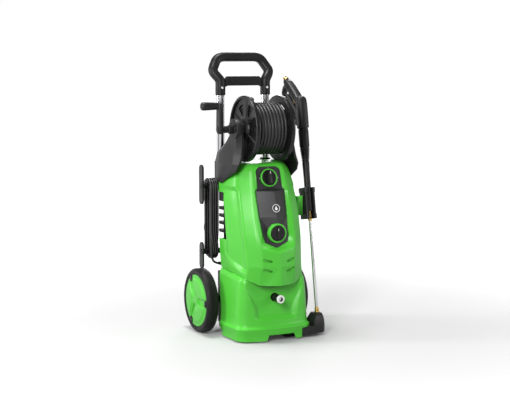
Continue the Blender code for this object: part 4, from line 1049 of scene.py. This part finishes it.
def switch_strokes():
    """Short strokes round the upper knob: off at the top, on at the side."""
    bm = bmesh.new()
    for degrees in (90, 0, 180):
        stroke = box((0.0300, -0.0005, 0.0001), (0.0332, 0.0005, 0.0005))
        join(bm, stroke, Matrix.Rotation(math.radians(degrees), 4, "Z"))
    piece("switch_strokes", on_face(bm, KNOB, KNOB_NORMAL), WHITE, "washer")


panel()
bar_knob("power_knob_grip", KNOB, KNOB_NORMAL, 0.0240, "power_switch", "power_knob", 0.0080,
         (0.0062, 0.0222), 0.0165)
bezel("power_knob_bezel", KNOB, KNOB_NORMAL, 0.0246, 0.0290, 0.0006, 0.0056, "power_knob_ring")
bar_knob("detergent_dial_grip", DIAL, -Y_AXIS, 0.0238, "detergent_valve", "detergent_dial", 0.0126,
         (0.0046, 0.0180), 0.0062)
bezel("dial_bezel", DIAL, -Y_AXIS, 0.0246, 0.0300, -0.0128, 0.0030, "dial_ring")
badge()
switch_strokes()


# ---------------------------------------------------------------- wheels
WHEEL_Y = in_machine("left_wheel_spin").y
WHEEL_Z = in_machine("left_wheel_spin").z
WHEEL_OUT = 0.178
WHEEL_IN = 0.138
WHEEL_CENTRE = Vector((0, WHEEL_Y, WHEEL_Z))
NOTCHES = (180, 300, 60)
NOTCH_HALF_ANGLE = 8
NOTCH_RADIUS = 0.0690
CAP_RADIUS = 0.0822
CAP_RINGS, CAP_SECTORS = 30, 144


def tyre(side, word):
    """A hard tyre with rounded shoulders, two grooves round the tread and a step to its side wall."""
    low, high = WHEEL_IN, WHEEL_OUT
    radius = WHEEL_Z - 0.0001
    inner = radius - 0.0012
    profile = [(0.0838, low + 0.002), (0.0900, low + 0.0006), (0.0945, low), (0.0985, low + 0.0022),
               (inner, low + 0.0055), (radius, low + 0.0100)]
    for x in (low + 0.0150, high - 0.0190):
        profile += [(radius, x), (inner, x + 0.0008), (inner, x + 0.0032), (radius, x + 0.0040)]
    profile += [(radius, high - 0.0100), (inner, high - 0.0055), (0.0985, high - 0.0022), (0.0945, high),
                (0.0905, high - 0.0004), (0.0898, high - 0.0014), (0.0862, high - 0.0014),
                (0.0838, high - 0.0030)]
    piece(f"{word}_tyre_tread", turned(profile, WHEEL_CENTRE, side * X_AXIS, 96), TYRE,
          f"{word}_wheel", f"{word}_tyre", sharp=40)


def off_notch(degrees):
    """The angle from the nearest notch, at most 60 degrees."""
    return min(abs((degrees - notch + 180) % 360 - 180) for notch in NOTCHES)


def cap_height(radius, degrees):
    """The hub cap's relief: three raised lobes between the grooves that run out to the notches."""
    across = radius * math.sin(math.radians(off_notch(degrees)))
    groove = 1 - ease(across, 0.0060, 0.0088)
    groove *= ease(radius, 0.012, 0.022) * (1 - ease(radius, 0.060, 0.074))
    lobe = ease(radius, 0.020, 0.032) * (1 - ease(radius, 0.064, 0.076)) * ease(across, 0.010, 0.017)
    return 0.0026 * (1 - (radius / 0.082) ** 2) - 0.0075 * groove + 0.0036 * lobe


def hub_cap(side, word):
    """A shallow dome of rings, whose outer rings fall back to NOTCH_RADIUS at the notches."""
    base = WHEEL_OUT - 0.0024
    bm = bmesh.new()
    centre = bm.verts.new((side * (base + cap_height(0.0001, 90)), WHEEL_Y, WHEEL_Z))
    rows = []
    for i in range(1, CAP_RINGS + 1):
        row = []
        for k in range(CAP_SECTORS):
            degrees = 360 * k / CAP_SECTORS
            reach = CAP_RADIUS * i / CAP_RINGS
            if off_notch(degrees) < NOTCH_HALF_ANGLE:
                reach = min(reach, NOTCH_RADIUS)
            x = side * (base + cap_height(reach, degrees))
            angle = math.radians(degrees)
            y, z = reach * math.cos(angle), reach * math.sin(angle)
            row.append(bm.verts.new((x, WHEEL_Y + y, WHEEL_Z + z)))
        rows.append(row)
    inner = side * (WHEEL_OUT - 0.0057)
    rows.append([bm.verts.new((inner, vertex.co.y, vertex.co.z)) for vertex in rows[-1]])
    for k in range(CAP_SECTORS):
        bm.faces.new((centre, rows[0][k], rows[0][(k + 1) % CAP_SECTORS]))
    for first, second in zip(rows, rows[1:]):
        bridge(bm, first, second)
    bm.faces.new(rows[-1])
    bmesh.ops.remove_doubles(bm, verts=bm.verts, dist=0.00002)
    piece(f"{word}_hub_cap_relief", bm, GREEN, f"{word}_wheel", f"{word}_hub_cap", sharp=45)


def wheel_core(side, word):
    """The black core: ribs behind, and the three clips that hold the cap."""
    low, high = WHEEL_IN, WHEEL_OUT
    profile = [(0.0062, low), (0.0180, low), (0.0195, low + 0.0012), (0.0200, low + 0.020),
               (0.0715, low + 0.020), (0.0725, low + 0.007), (0.0735, low + 0.006), (0.0825, low + 0.006),
               (0.0832, low + 0.007), (0.0832, high - 0.0062), (0.0062, high - 0.0062)]
    bm = turned(profile, WHEEL_CENTRE, side * X_AXIS, 64)
    for k in range(9):
        rib = box((low + 0.007, -0.0012, 0.0185), (low + 0.021, 0.0012, 0.0725))
        join(bm, rib, round_axle(WHEEL_CENTRE, side, 40 * k + 20))
    piece(f"{word}_wheel_core_ribs", bm, BLACK, f"{word}_wheel", f"{word}_wheel_core", sharp=35)
    clips = bmesh.new()
    outline = [(0.0700, -0.0080), (0.0818, -0.0092), (0.0818, 0.0092), (0.0700, 0.0080)]
    for notch in NOTCHES:
        clip = prism(outline, "x", high - 0.0070, high + 0.0003)
        join(clips, clip, round_axle(WHEEL_CENTRE, side, notch))
    piece(f"{word}_hub_clips", clips, SATIN, f"{word}_wheel", bevel=0.0009)


for wheel_side, wheel_word in SIDES:
    tyre(wheel_side, wheel_word)
    hub_cap(wheel_side, wheel_word)
    wheel_core(wheel_side, wheel_word)
repaint("wheel_axle", STEEL)


# ---------------------------------------------------------------- handle
TUBE_X, TUBE_Y, TUBE_RADIUS = 0.079, 0.141, 0.0125
TUBE_LOW, TUBE_LENGTH = 0.462, 0.3278
SOCKET_LOW = 0.740
BUTTON_Z = 0.777
GRIP_SIDES = 28


def handle_loop():
    """The grip: one bent bar with a soft, slightly flattened section, thicker at its sockets."""
    half = [(0, 0.1735, 0.8740), (0.020, 0.1735, 0.8740), (0.040, 0.1735, 0.8740), (0.058, 0.1733, 0.8735),
            (0.071, 0.1727, 0.8700), (0.0800, 0.1708, 0.8630), (0.0865, 0.1675, 0.8530),
            (0.0930, 0.1625, 0.8420), (0.0972, 0.1572, 0.8320), (0.0950, 0.1520, 0.8220),
            (0.0880, 0.1465, 0.8120), (0.0815, 0.1430, 0.8030), (TUBE_X, 0.1414, 0.7930),
            (TUBE_X, TUBE_Y, 0.7800), (TUBE_X, TUBE_Y, 0.7660), (TUBE_X, TUBE_Y, 0.7530)]
    path = smooth(mirrored(half), 5)
    rings = []
    for i, point in enumerate(path):
        before, after = path[max(i - 1, 0)], path[min(i + 1, len(path) - 1)]
        tangent = (after - before).normalized()
        across = tangent.cross(Y_AXIS).normalized()
        depth = across.cross(tangent).normalized()
        low = 1 - ease(point.z, 0.790, 0.815)
        width, thick, power = mix(0.0148, 0.0160, low), mix(0.0152, 0.0160, low), mix(0.82, 1.0, low)
        if point.z < 0.7545:
            width, thick = width - 0.001, thick - 0.001
        ring = []
        for k in range(GRIP_SIDES):
            a = 2 * math.pi * k / GRIP_SIDES
            u, v = (math.copysign(abs(c) ** power, c) for c in (math.cos(a), math.sin(a)))
            ring.append(point + width * u * across + thick * v * depth)
        rings.append(ring)
    grip = piece("handle_grip_loop", loft(rings), SOFT_GRIP, "handle", "handle_grip", sharp=50)
    bores = bmesh.new()
    for side, _ in SIDES:
        x = side * TUBE_X
        rod((x, TUBE_Y, SOCKET_LOW), (x, TUBE_Y, 0.7903), TUBE_RADIUS + 0.0004, 40, bores)
        rod((x, 0.118, BUTTON_Z), (x, 0.1275, BUTTON_Z), 0.0042, 20, bores, 0.0002)
    cut_by(grip, "sockets", bores)
    profile = [(0, 0.0), (0.0030, 0.0), (0.0034, 0.0005), (0.0034, 0.0030), (0, 0.0030)]
    for side, word in SIDES:
        head = turned(profile, (side * TUBE_X, 0.1244, BUTTON_Z), Y_AXIS, 24)
        piece(f"{word}_button", head, WHITE, "handle", f"{word}_grip_screw")


def handle_tubes():
    """The bright tubes, and the collars on the body that they slide through."""
    hole = TUBE_RADIUS - 0.0015
    wall = [(hole, 0.0), (TUBE_RADIUS - 0.0004, 0.0), (TUBE_RADIUS, 0.0004), (TUBE_RADIUS, TUBE_LENGTH),
            (hole, TUBE_LENGTH)]
    lip = [(0.0129, 0.0), (0.0166, 0.0), (0.0170, 0.0006), (0.0170, 0.0030), (0.0162, 0.0044), (0.0134, 0.0050),
           (0.0129, 0.0044)]
    for side, word in SIDES:
        x = side * TUBE_X
        piece(f"{word}_tube", turned(wall, (x, TUBE_Y, TUBE_LOW), Z_AXIS, 48), CHROME, "handle",
              f"{word}_handle_tube")
        piece(f"{word}_tube_collar", turned(lip, (x, TUBE_Y, 0.5452), Z_AXIS, 40), SATIN, "washer")


handle_loop()
handle_tubes()
refined("handle_brace", SOFT_GRIP, 0.0022, 4)
refined("reel_carrier", BLACK, 0.0030, 4)


# ---------------------------------------------------------------- reel, its arms and its crank
AXLE = Vector((0, 0, REEL_Z))
SHAFT_HOLE = 0.0084
# Windows and ribs of a flange: each angle with its inner and outer radius, or its half width and height.
WINDOWS = [(degrees, 0.045, 0.0800) for degrees in (63, 117, 243, 297)]
WINDOWS += [(degrees, 0.050, 0.0780) for degrees in (0, 180)]
FLANGE_RIBS = [(degrees, 0.0105, 0.0070) for degrees in (90, 270)]
FLANGE_RIBS += [(degrees, 0.0016, 0.0085) for degrees in (30, 150, 210, 330)]
FLANGE_HOLES = (98, 150, 278, 330)
FLANGE_LOW, FLANGE_HIGH = 0.052, 0.066


def on_circle(radius, degrees):
    """(y, z) of a point round the reel's axle."""
    angle = math.radians(degrees)
    return (radius * math.cos(angle), REEL_Z + radius * math.sin(angle))


def flange_rib(width, height):
    """An upright rib on the disc's face, which tapers outwards and narrows as it rises."""
    foot = FLANGE_LOW + 0.0035
    base = [(foot, -width, 0.0290), (foot, width, 0.0290), (foot, width, 0.0930), (foot, -width, 0.0930)]
    narrow = width * 0.80
    top = [(foot + height, -narrow, 0.0290), (foot + height, narrow, 0.0290),
           (FLANGE_LOW + 0.0055, narrow, 0.0925), (FLANGE_LOW + 0.0055, -narrow, 0.0925)]
    return loft([base, top])


def reel_flange(side, word):
    """A dished disc: a thick rim, windows beside an upright spoke, small holes, and a stepped hub."""
    low, high = FLANGE_LOW, FLANGE_HIGH
    profile = [(SHAFT_HOLE, low), (0.1000, low), (0.1024, low + 0.0008), (0.1030, low + 0.0025),
               (0.1030, high - 0.0030), (0.1022, high - 0.0008), (0.1005, high), (0.0965, high),
               (0.0950, high - 0.0010), (0.0935, low + 0.0055), (0.0915, low + 0.0045), (0.0500, low + 0.0045),
               (0.0340, low + 0.0080), (0.0300, high), (0.0230, 0.0700), (0.0215, 0.0712), (0.0205, 0.0768),
               (SHAFT_HOLE, 0.0768)]
    bm = turned(profile, AXLE, side * X_AXIS, 96)
    flange = piece(f"{word}_flange_disc", bm, SATIN, "reel", f"{word}_reel_flange", sharp=35)
    cuts = bmesh.new()
    near, far = side * 0.045, side * 0.075
    for degrees, inner, outer in WINDOWS:
        outline = [on_circle(r, degrees + swing)
                   for r, swing in ((inner, -8), (outer, -13), (outer, 0), (outer, 13), (inner, 8))]
        prism(outline, "x", *sorted((near, far)), cuts)
    for degrees in FLANGE_HOLES:
        y, z = on_circle(0.0885, degrees)
        rod((near, y, z), (far, y, z), 0.0022, 16, cuts, 0.0001)
    cut_by(flange, "windows", cuts)
    soften(flange, 0.0008, 2, 40)
    ribs = bmesh.new()
    for degrees, width, height in FLANGE_RIBS:
        join(ribs, flange_rib(width, height), round_axle(AXLE, side, degrees - 90))
    piece(f"{word}_flange_spokes", ribs, BLACK, "reel", bevel=0.0012)


def drum():
    """The barrel between the flanges, and the shaft with its collar and its nut."""
    half = 0.0515
    edge = half - 0.0003
    barrel = [(SHAFT_HOLE, -half), (0.0582, -half), (0.0585, -edge), (0.0585, edge), (0.0582, half),
              (SHAFT_HOLE, half)]
    piece("drum_barrel", turned(barrel, AXLE, X_AXIS, 64), BLACK, "reel", "reel_drum")
    shaft = rod((-0.1387, 0, REEL_Z), (0.1060, 0, REEL_Z), 0.0080, 32)
    piece("shaft_bar", shaft, SATIN, "reel", "reel_shaft")
    collar = [(0.0081, 0.0), (0.0120, 0.0), (0.0135, 0.0012), (0.0135, 0.0120), (0.0115, 0.0145),
              (0.0081, 0.0145)]
    piece("shaft_collar", turned(collar, (-0.1030, 0, REEL_Z), -X_AXIS, 28), SATIN, "reel")
    nut = [(0.0081, 0.0), (0.0125, 0.0), (0.0125, 0.0070), (0.0081, 0.0070)]
    piece("shaft_nut", turned(nut, (-0.1230, 0, REEL_Z), -X_AXIS, 6), BLACK, "reel", bevel=0.0008)


# The arm's rows from its foot up: height, x of its inner and outer face, y of its front and rear edge.
ARM = [
    (0.4840, 0.1150, 0.1180, 0.048, 0.078), (0.4980, 0.1120, 0.1180, 0.022, 0.096),
    (0.5240, 0.1020, 0.1175, -0.034, 0.108), (0.5460, 0.0980, 0.1165, -0.048, 0.117),
    (0.5620, 0.0900, 0.1150, -0.049, 0.119), (0.5740, 0.0860, 0.1135, -0.048, 0.118),
    (0.6060, 0.0790, 0.1070, -0.040, 0.070), (0.6400, 0.0780, 0.1005, -0.0315, 0.034),
]


def reel_arm(side, word):
    """The arm from the body's shoulder to the reel's axle: a flat outer face between two chamfers, with
    a round bearing boss on top."""
    rings = []
    for z, inner, outer, front, rear in ARM:
        thick = outer - inner
        ridge = mix(front, rear, 0.48)
        row = [(inner, front), (inner + 0.30 * thick, front), (outer - 0.22 * thick, mix(front, ridge, 0.35)),
               (outer + 0.0012, ridge), (outer + 0.0002, mix(ridge, rear, 0.50)),
               (outer - 0.45 * thick, rear), (inner, rear)]
        rings.append([Vector((side * x, y, z)) for x, y in row])
    arm = piece(f"{word}_arm_shell", loft(rings), BLACK, "washer", f"{word}_reel_arm", sharp=12)
    soften(arm, 0.0015, 3, 12)
    boss = [(SHAFT_HOLE, 0.0776), (0.0300, 0.0776), (0.0328, 0.0790), (0.0330, 0.0810), (0.0330, 0.0985),
            (0.0318, 0.1004), (0.0290, 0.1012), (0.0210, 0.1012), (0.0200, 0.0996), (0.0150, 0.0996),
            (0.0140, 0.1012), (SHAFT_HOLE, 0.1012)]
    piece(f"{word}_arm_boss", turned(boss, AXLE, side * X_AXIS, 56), BLACK, "washer", sharp=35)


def crank():
    """The crank's flat arm with a cap on the shaft's end, and its grip."""
    foot = in_machine("crank_grip_spin")
    top = REEL_Z + 0.072
    axle_x = -0.139
    rings = []
    for x, grow in ((axle_x, -0.0010), (axle_x - 0.0012, 0.0), (axle_x - 0.0100, 0.0),
                    (axle_x - 0.0120, -0.0016)):
        outline = arc((0, REEL_Z), 0.0140 + grow, 180, 360, 14) + arc((0, top), 0.0117 + grow, 0, 180, 14)
        rings.append([Vector((x, y, z)) for y, z in outline])
    piece("crank_arm_bar", loft(rings), BLACK, "reel", "crank_arm", sharp=40)
    cap = [(0, 0.0), (0.0085, 0.0), (0.0090, 0.0006), (0.0090, 0.0018), (0.0070, 0.0030), (0, 0.0034)]
    piece("crank_cap", turned(cap, (axle_x - 0.0119, 0, REEL_Z), -X_AXIS, 28), SATIN, "reel")
    sleeve = [(0, 0.0), (0.0106, 0.0), (0.0112, 0.0006), (0.0112, 0.0030), (0.0104, 0.0040), (0.0110, 0.0055),
              (0.0119, 0.0200), (0.0127, 0.0400), (0.0128, 0.0470), (0.0122, 0.0515), (0.0105, 0.0538),
              (0.0080, 0.0545), (0, 0.0545)]
    piece("crank_grip_sleeve", turned(sleeve, foot, -X_AXIS, 40), SOFT_GRIP, "crank_handle", "crank_grip")


for arm_side, arm_word in SIDES:
    reel_flange(arm_side, arm_word)
    reel_arm(arm_side, arm_word)
drum()
crank()


# ---------------------------------------------------------------- gun and lance
LANCE_X = 0.160
NOZZLE_TIP = Vector((LANCE_X, -0.0715, 0.062))
LANCE_UP = joint_axis["gun_lift"].normalized()
LANCE_BACK = Vector((0, LANCE_UP.z, -LANCE_UP.y))
# Places on the gun: how far along the lance from its nozzle's tip, and how far behind its axis.
BARREL_END = 0.5920
TRIGGER_PIVOT = (0.6420, 0.0245)
GRIP_FOOT = (0.6720, 0.0000)
GRIP_END = (0.7620, 0.0905)
GRIP_HALF = 0.0138


def on_lance(along, back):
    """(y, z) of a place on the lance."""
    point = NOZZLE_TIP + along * LANCE_UP + back * LANCE_BACK
    return (point.y, point.z)


def rounded_loop(pairs, times):
    """Cuts the corners of a closed outline, time after time."""
    points = [Vector(p) for p in pairs]
    for _ in range(times):
        cut = []
        for i, a in enumerate(points):
            b = points[(i + 1) % len(points)]
            cut += [a.lerp(b, 0.22), a.lerp(b, 0.78)]
        points = cut
    return points


def pillow(pairs, half, edge, bm=None):
    """A moulding of constant thickness with rounded-over sides: the outline shrinks near both faces."""
    points = [Vector(on_lance(*p)) for p in rounded_loop(pairs, 2)]
    rings = []
    for x, share in ((-half, 1.0), (-half + 0.3 * edge, 0.45), (-half + edge, 0.0), (half - edge, 0.0),
                     (half - 0.3 * edge, 0.45), (half, 1.0)):
        ring = []
        for i, p in enumerate(points):
            before, after = points[i - 1], points[(i + 1) % len(points)]
            tangent = (after - before).normalized()
            q = p + Vector((-tangent.y, tangent.x)) * share * edge
            ring.append(Vector((LANCE_X + x, q.x, q.y)))
        rings.append(ring)
    return loft(rings, bm)


def gun():
    """The barrel, the grip behind it, the closed guard, the trigger's ears and the grip's dark inlays."""
    foot, end = Vector(GRIP_FOOT), Vector(GRIP_END)
    way = (end - foot).normalized()
    side = Vector((-way.y, way.x)) * GRIP_HALF
    barrel = [(BARREL_END, 0.0172), (0.600, 0.0178), (0.660, 0.0182), (0.692, 0.0130), (0.700, 0.0),
              (0.692, -0.0130), (0.672, -0.0182), (0.600, -0.0182), (BARREL_END, -0.0172)]
    grip = [foot + side - way * 0.02, end + side, end - side, foot - side - way * 0.004]
    guard = [(0.597, 0.0150), (0.612, 0.0400), (0.650, 0.0610), (0.684, 0.0955), (0.712, 0.1155),
             (0.728, 0.1180), (0.744, 0.1060), (0.752, 0.0900), (0.740, 0.0860), (0.728, 0.1060),
             (0.716, 0.1085), (0.690, 0.0905), (0.655, 0.0560), (0.622, 0.0365), (0.612, 0.0150)]
    bm = pillow(barrel, 0.0158, 0.0075)
    pillow(grip, 0.0140, 0.0065, bm)
    pillow(guard, 0.0090, 0.0022, bm)
    ear = [(0.6300, 0.0150), (0.6540, 0.0150), (0.6500, 0.0285), (0.6340, 0.0285)]
    for x in (-0.0088, 0.0088):
        join(bm, pillow(ear, 0.0021, 0.0006), Matrix.Translation((x, 0, 0)))
    piece("gun_shell", bm, BLACK, "gun", "gun_body", sharp=45)
    strip = [foot + way * 0.010 + side * 0.35, end - way * 0.012 + side * 0.35,
             end - way * 0.012 - side * 0.45, foot + way * 0.014 - side * 0.45]
    inlays = bmesh.new()
    for x in (-0.0139, 0.0139):
        join(inlays, pillow(strip, 0.0008, 0.0006), Matrix.Translation((x, 0, 0)))
    piece("gun_inlays", inlays, RUBBER, "gun")


def gun_trigger():
    """The lever on its pin, the coiled spring beside it, and the lock catch."""
    outline = [(0.632, 0.0195), (0.650, 0.0205), (0.700, 0.0660), (0.7205, 0.0880), (0.716, 0.0930),
               (0.690, 0.0710), (0.662, 0.0430), (0.636, 0.0300)]
    bm = pillow(outline, 0.0060, 0.0016)
    pin_y, pin_z = on_lance(*TRIGGER_PIVOT)
    rod((LANCE_X - 0.0108, pin_y, pin_z), (LANCE_X + 0.0142, pin_y, pin_z), 0.0020, 20, bm, 0.0003)
    piece("trigger_lever_shell", bm, SATIN, "trigger_lever", "trigger", sharp=45)
    steps, turns, radius = 60, 3, 0.0034
    coil = []
    for k in range(steps + 1):
        angle = 2 * math.pi * turns * k / steps
        coil.append(Vector((LANCE_X + 0.0117 + 0.0019 * k / steps, pin_y + radius * math.cos(angle),
                            pin_z + radius * math.sin(angle))))
    tube("trigger_torsion_spring", coil, 0.0005, STEEL, "gun", "trigger_spring", roundness=3)
    refined("trigger_lock", BRASS, 0.0005, 2)


def along_lance(name, profile, made_of, *nodes, sides=32, sharp=35):
    """A turned piece whose profile starts at the nozzle's tip and runs up the lance."""
    piece(name, turned(profile, NOZZLE_TIP, LANCE_UP, sides), made_of, "gun", *nodes, sharp=sharp)


def lance():
    """The ribbed sleeve, the bright pipe, its brass coupling, the nozzle, and the gun's inlet."""
    sleeve = [(0, 0.330), (0.0090, 0.330), (0.0103, 0.3312), (0.0105, 0.3325), (0.0105, 0.4400),
              (0.0108, 0.4600), (0.0114, 0.4850)]
    for i in range(6):
        z = 0.4900 + 0.0070 * i
        r = mix(0.0116, 0.0150, i / 5)
        sleeve += [(r - 0.0016, z), (r + 0.0008, z + 0.0010),
                   (r + 0.0008, z + 0.0044), (r - 0.0016, z + 0.0054)]
    sleeve += [(0.0150, 0.5345), (0.0158, 0.5370), (0.0160, 0.5380), (0.0164, 0.5860), (0.0155, 0.5895),
               (0.0155, 0.6000), (0, 0.6000)]
    along_lance("lance_sleeve_ribbed", sleeve, BLACK, "lance_sleeve", sides=48, sharp=30)
    pipe = [(0, 0.0250), (0.0050, 0.0250), (0.0052, 0.0256), (0.0052, 0.2990), (0, 0.2990)]
    along_lance("lance_pipe", pipe, STEEL, "lance_tube")
    collar = [(0, 0.2985), (0.0058, 0.2985), (0.0064, 0.2995), (0.0064, 0.3060), (0.0056, 0.3068),
              (0.0056, 0.3090), (0.0068, 0.3100), (0.0068, 0.3210), (0.0060, 0.3220), (0.0060, 0.3295),
              (0, 0.3295)]
    along_lance("lance_collar", collar, BRASS)
    tip = [(0, 0.0026), (0.0014, 0.0026), (0.0020, 0.0), (0.0042, 0.0), (0.0048, 0.0008), (0.0050, 0.0040),
           (0.0072, 0.0052), (0.0076, 0.0060), (0.0076, 0.0128), (0.0070, 0.0136), (0.0062, 0.0142),
           (0.0062, 0.0162), (0.0072, 0.0170), (0.0072, 0.0206), (0.0060, 0.0216), (0.0058, 0.0247), (0, 0.0247)]
    along_lance("nozzle_tip", tip, BRASS, "nozzle", sharp=30)
    end = Vector((LANCE_X, *on_lance(*GRIP_END)))
    out = ((GRIP_END[0] - GRIP_FOOT[0]) * LANCE_UP + GRIP_END[1] * LANCE_BACK).normalized()
    inlet = [(0, 0.0004), (0.0088, 0.0004), (0.0092, 0.0009), (0.0092, 0.0052), (0.0082, 0.0062),
             (0.0070, 0.0066)]
    for i in range(4):
        z = 0.0072 + 0.0018 * i
        inlet += [(0.0072, z), (0.0066, z + 0.0009)]
    inlet += [(0.0066, 0.0146), (0.0060, 0.0150), (0.0036, 0.0150), (0.0035, 0.0040), (0, 0.0040)]
    piece("gun_inlet_thread", turned(inlet, end, out, 32), BRASS, "gun", "gun_inlet", sharp=25)



gun()
gun_trigger()
lance()


# ---------------------------------------------------------------- holders, hooks and the hidden parts
for node, made_of, width in (
        ("holder_bracket", GREEN, 0.0020), ("upper_cable_hook", SATIN, 0.0020),
        ("lower_cable_hook", SATIN, 0.0020), ("rear_cover", BLACK, 0.0012), ("base_chassis", BLACK, 0.0012),
        ("left_front_foot", RUBBER, 0.0015), ("right_front_foot", RUBBER, 0.0015),
        ("switch_box", BLACK, 0.0020), ("pump_head", BRASS, 0.0025), ("pump_body", CASTING, 0.0020)):
    refined(node, made_of, width)
repaint("motor_housing", CASTING)
repaint("motor_rotor", BLACK)
repaint("outlet_pipe", RUBBER)


CLIP_PLACE = NOZZLE_TIP + 0.355 * LANCE_UP
CHANNEL_RADIUS = 0.0117
CHANNEL_LIP = (0.0095, -0.0170)
# The angle at which the channel's wall ends, straight behind each lip.
CHANNEL_END = 35.7


def clip_outline(grow):
    """The clip seen along the lance: a rounded block with a round channel that opens to the front."""
    lip_x, lip_y = CHANNEL_LIP
    outline = [(lip_x, lip_y - grow)]
    for x, y, start in ((0.0120, -0.0090, -90), (0.0120, 0.0230, 0), (-0.0120, 0.0230, 90),
                        (-0.0120, -0.0090, 180)):
        outline += arc((x, y), 0.0080 + grow, start, start + 90, 8)
    outline.append((-lip_x, lip_y - grow))
    return outline + arc((0, 0), CHANNEL_RADIUS, 180 + CHANNEL_END, -CHANNEL_END, 30)


def lance_clip():
    """The clip that holds the lance's sleeve: a band round each end and a waist between them."""
    rings = []
    for z, grow in ((-0.0500, -0.0016), (-0.0484, 0.0), (-0.0350, 0.0), (-0.0335, -0.0018), (0.0335, -0.0018),
                    (0.0350, 0.0), (0.0484, 0.0), (0.0500, -0.0016)):
        rings.append([Vector((x, y, z)) for x, y in clip_outline(grow)])
    bm = loft(rings)
    turn = Matrix((X_AXIS, LANCE_BACK, LANCE_UP)).transposed().to_4x4()
    bm.transform(Matrix.Translation(CLIP_PLACE) @ turn)
    piece("lance_clip", bm, BLACK, "washer", "lance_holder", sharp=30)


def nozzle_cup():
    """The foot that holds the nozzle: a toe round the skirt's corner that swells into a round socket."""
    toe = [(0.0890, -0.1080), (0.1420, -0.1055), (0.1500, -0.0960), (0.1500, -0.0450), (0.1180, -0.0450),
           (0.1170, -0.0872), (0.0890, -0.0872)]
    bm = prism(toe, "z", 0.0082, 0.0335)
    seat_x, seat_y, seat_radius = 0.1575, -0.0705, 0.0262
    rings = []
    for z, x_in, grow in ((0.0084, 0.1340, -0.0015), (0.0110, 0.1340, 0.0), (0.0300, 0.1340, 0.0004),
                          (0.0360, 0.1342, 0.0), (0.0440, 0.1350, -0.0008), (0.0520, 0.1375, -0.0022),
                          (0.0590, 0.1410, -0.0045), (0.0650, 0.1440, -0.0070), (0.0690, 0.1465, -0.0095),
                          (0.0700, 0.1480, -0.0110)):
        reach = seat_radius + grow
        outline = arc((seat_x, seat_y), reach, -90, 90, 24)
        outline += [(x_in, seat_y + reach), (x_in, seat_y - reach * 1.15), (0.150, seat_y - reach * 1.12)]
        rings.append([Vector((x, y, z)) for x, y in outline])
    loft(rings, bm)
    cup = piece("nozzle_cup_shell", bm, BLACK, "washer", "nozzle_cup", sharp=40)
    cut_by(cup, "seat", rod(NOZZLE_TIP - 0.006 * LANCE_UP, NOZZLE_TIP + 0.05 * LANCE_UP, 0.0100, 40))
    soften(cup, 0.0014, 2, 35)


lance_clip()
nozzle_cup()


# ---------------------------------------------------------------- the back, and the screws
REAR_Y = 0.1515
CARRIER_Y = 0.1590
SCREW_RADIUS = 0.0042


def screw(name, place, direction, radius, made_of, body):
    """A pan head with a cross recess."""
    head = turned([(0, -0.001), (radius, -0.001), (radius, 0.0008), (radius * 0.75, 0.0018), (0, 0.0022)],
                  place, direction, 24)
    made = piece(name, head, made_of, body)
    long, short = 0.45 * radius, 0.12 * radius
    outline = [(long, short), (short, short), (short, long), (-short, long), (-short, short), (-long, short),
               (-long, -short), (-short, -short), (-short, -long), (short, -long), (short, -short), (long, -short)]
    cross = prism(outline, "z", 0.0008, 0.0030)
    cross.transform(standing(place, direction))
    cut_by(made, name + "_cross", cross)


def raised_border(half_width, low, high, face, height, bm):
    """A raised frame, 4 mm wide, on a face that looks to the back."""
    width = 0.004
    front, back = face, face + height
    box((-half_width, front, low), (-half_width + width, back, high), bm)
    box((half_width - width, front, low), (half_width, back, high), bm)
    box((-half_width, front, low - width), (half_width, back, low), bm)
    box((-half_width, front, high), (half_width, back, high + width), bm)


def vent():
    """Slanted ribs in a raised frame, on the rear cover."""
    ribs = bmesh.new()
    foot = ((-0.036, -0.0036), (0.036, -0.0036), (0.036, 0.0036), (-0.036, 0.0036))
    top = ((-0.033, -0.0036), (0.033, -0.0036), (0.033, -0.0012), (-0.033, -0.0012))
    for k in range(7):
        z = 0.3250 + 0.0160 * k
        loft([[(x, REAR_Y, z + h) for x, h in foot], [(x, REAR_Y + 0.0037, z + h) for x, h in top]], ribs)
    piece("rear_vent_ribs", ribs, BLACK, "washer", bevel=0.0007)
    border = bmesh.new()
    raised_border(0.043, 0.310, 0.436, REAR_Y, 0.0030, border)
    piece("rear_vent_frame", border, BLACK, "washer", bevel=0.0010)


def rear_ribs():
    """Upright ribs behind the base tray, and a field of level ribs on the carrier."""
    flutes = bmesh.new()
    for x in (-0.060, -0.030, 0.0, 0.030, 0.060):
        box((x - 0.0020, REAR_Y, 0.050), (x + 0.0020, REAR_Y + 0.0030, 0.160), flutes)
    for z in (0.160, 0.046):
        box((-0.072, REAR_Y, z), (0.072, REAR_Y + 0.0030, z + 0.004), flutes)
    piece("tray_ribs", flutes, BLACK, "washer", bevel=0.0010)
    field = bmesh.new()
    raised_border(0.064, 0.468, 0.532, CARRIER_Y, 0.0024, field)
    for k in range(4):
        z = 0.4800 + 0.0120 * k
        box((-0.050, CARRIER_Y, z), (0.050, CARRIER_Y + 0.0022, z + 0.0040), field)
    piece("carrier_ribs", field, BLACK, "washer", bevel=0.0008)


def hook_screw(z, body, word):
    """The screw head that holds a hook's end plate."""
    head = turned([(0, 0.0), (0.0050, 0.0), (0.0058, -0.0010), (0.0058, -0.0016), (0, -0.0016)],
                  (-0.1606, HANK_Y, z), X_AXIS, 28)
    piece(f"{word}_hook_screw", head, BLACK, body)


vent()
rear_ribs()
for screw_side, screw_word in SIDES:
    for where, screw_x, screw_z in (("tray", 0.07564, 0.176), ("cover", 0.0434, 0.2850)):
        screw(f"{screw_word}_{where}_screw", Vector((screw_side * screw_x, REAR_Y + 0.0005, screw_z)), Y_AXIS,
              SCREW_RADIUS, STEEL, "washer")
hook_screw(0.470, "cable_catch", "upper")
hook_screw(0.260, "washer", "lower")
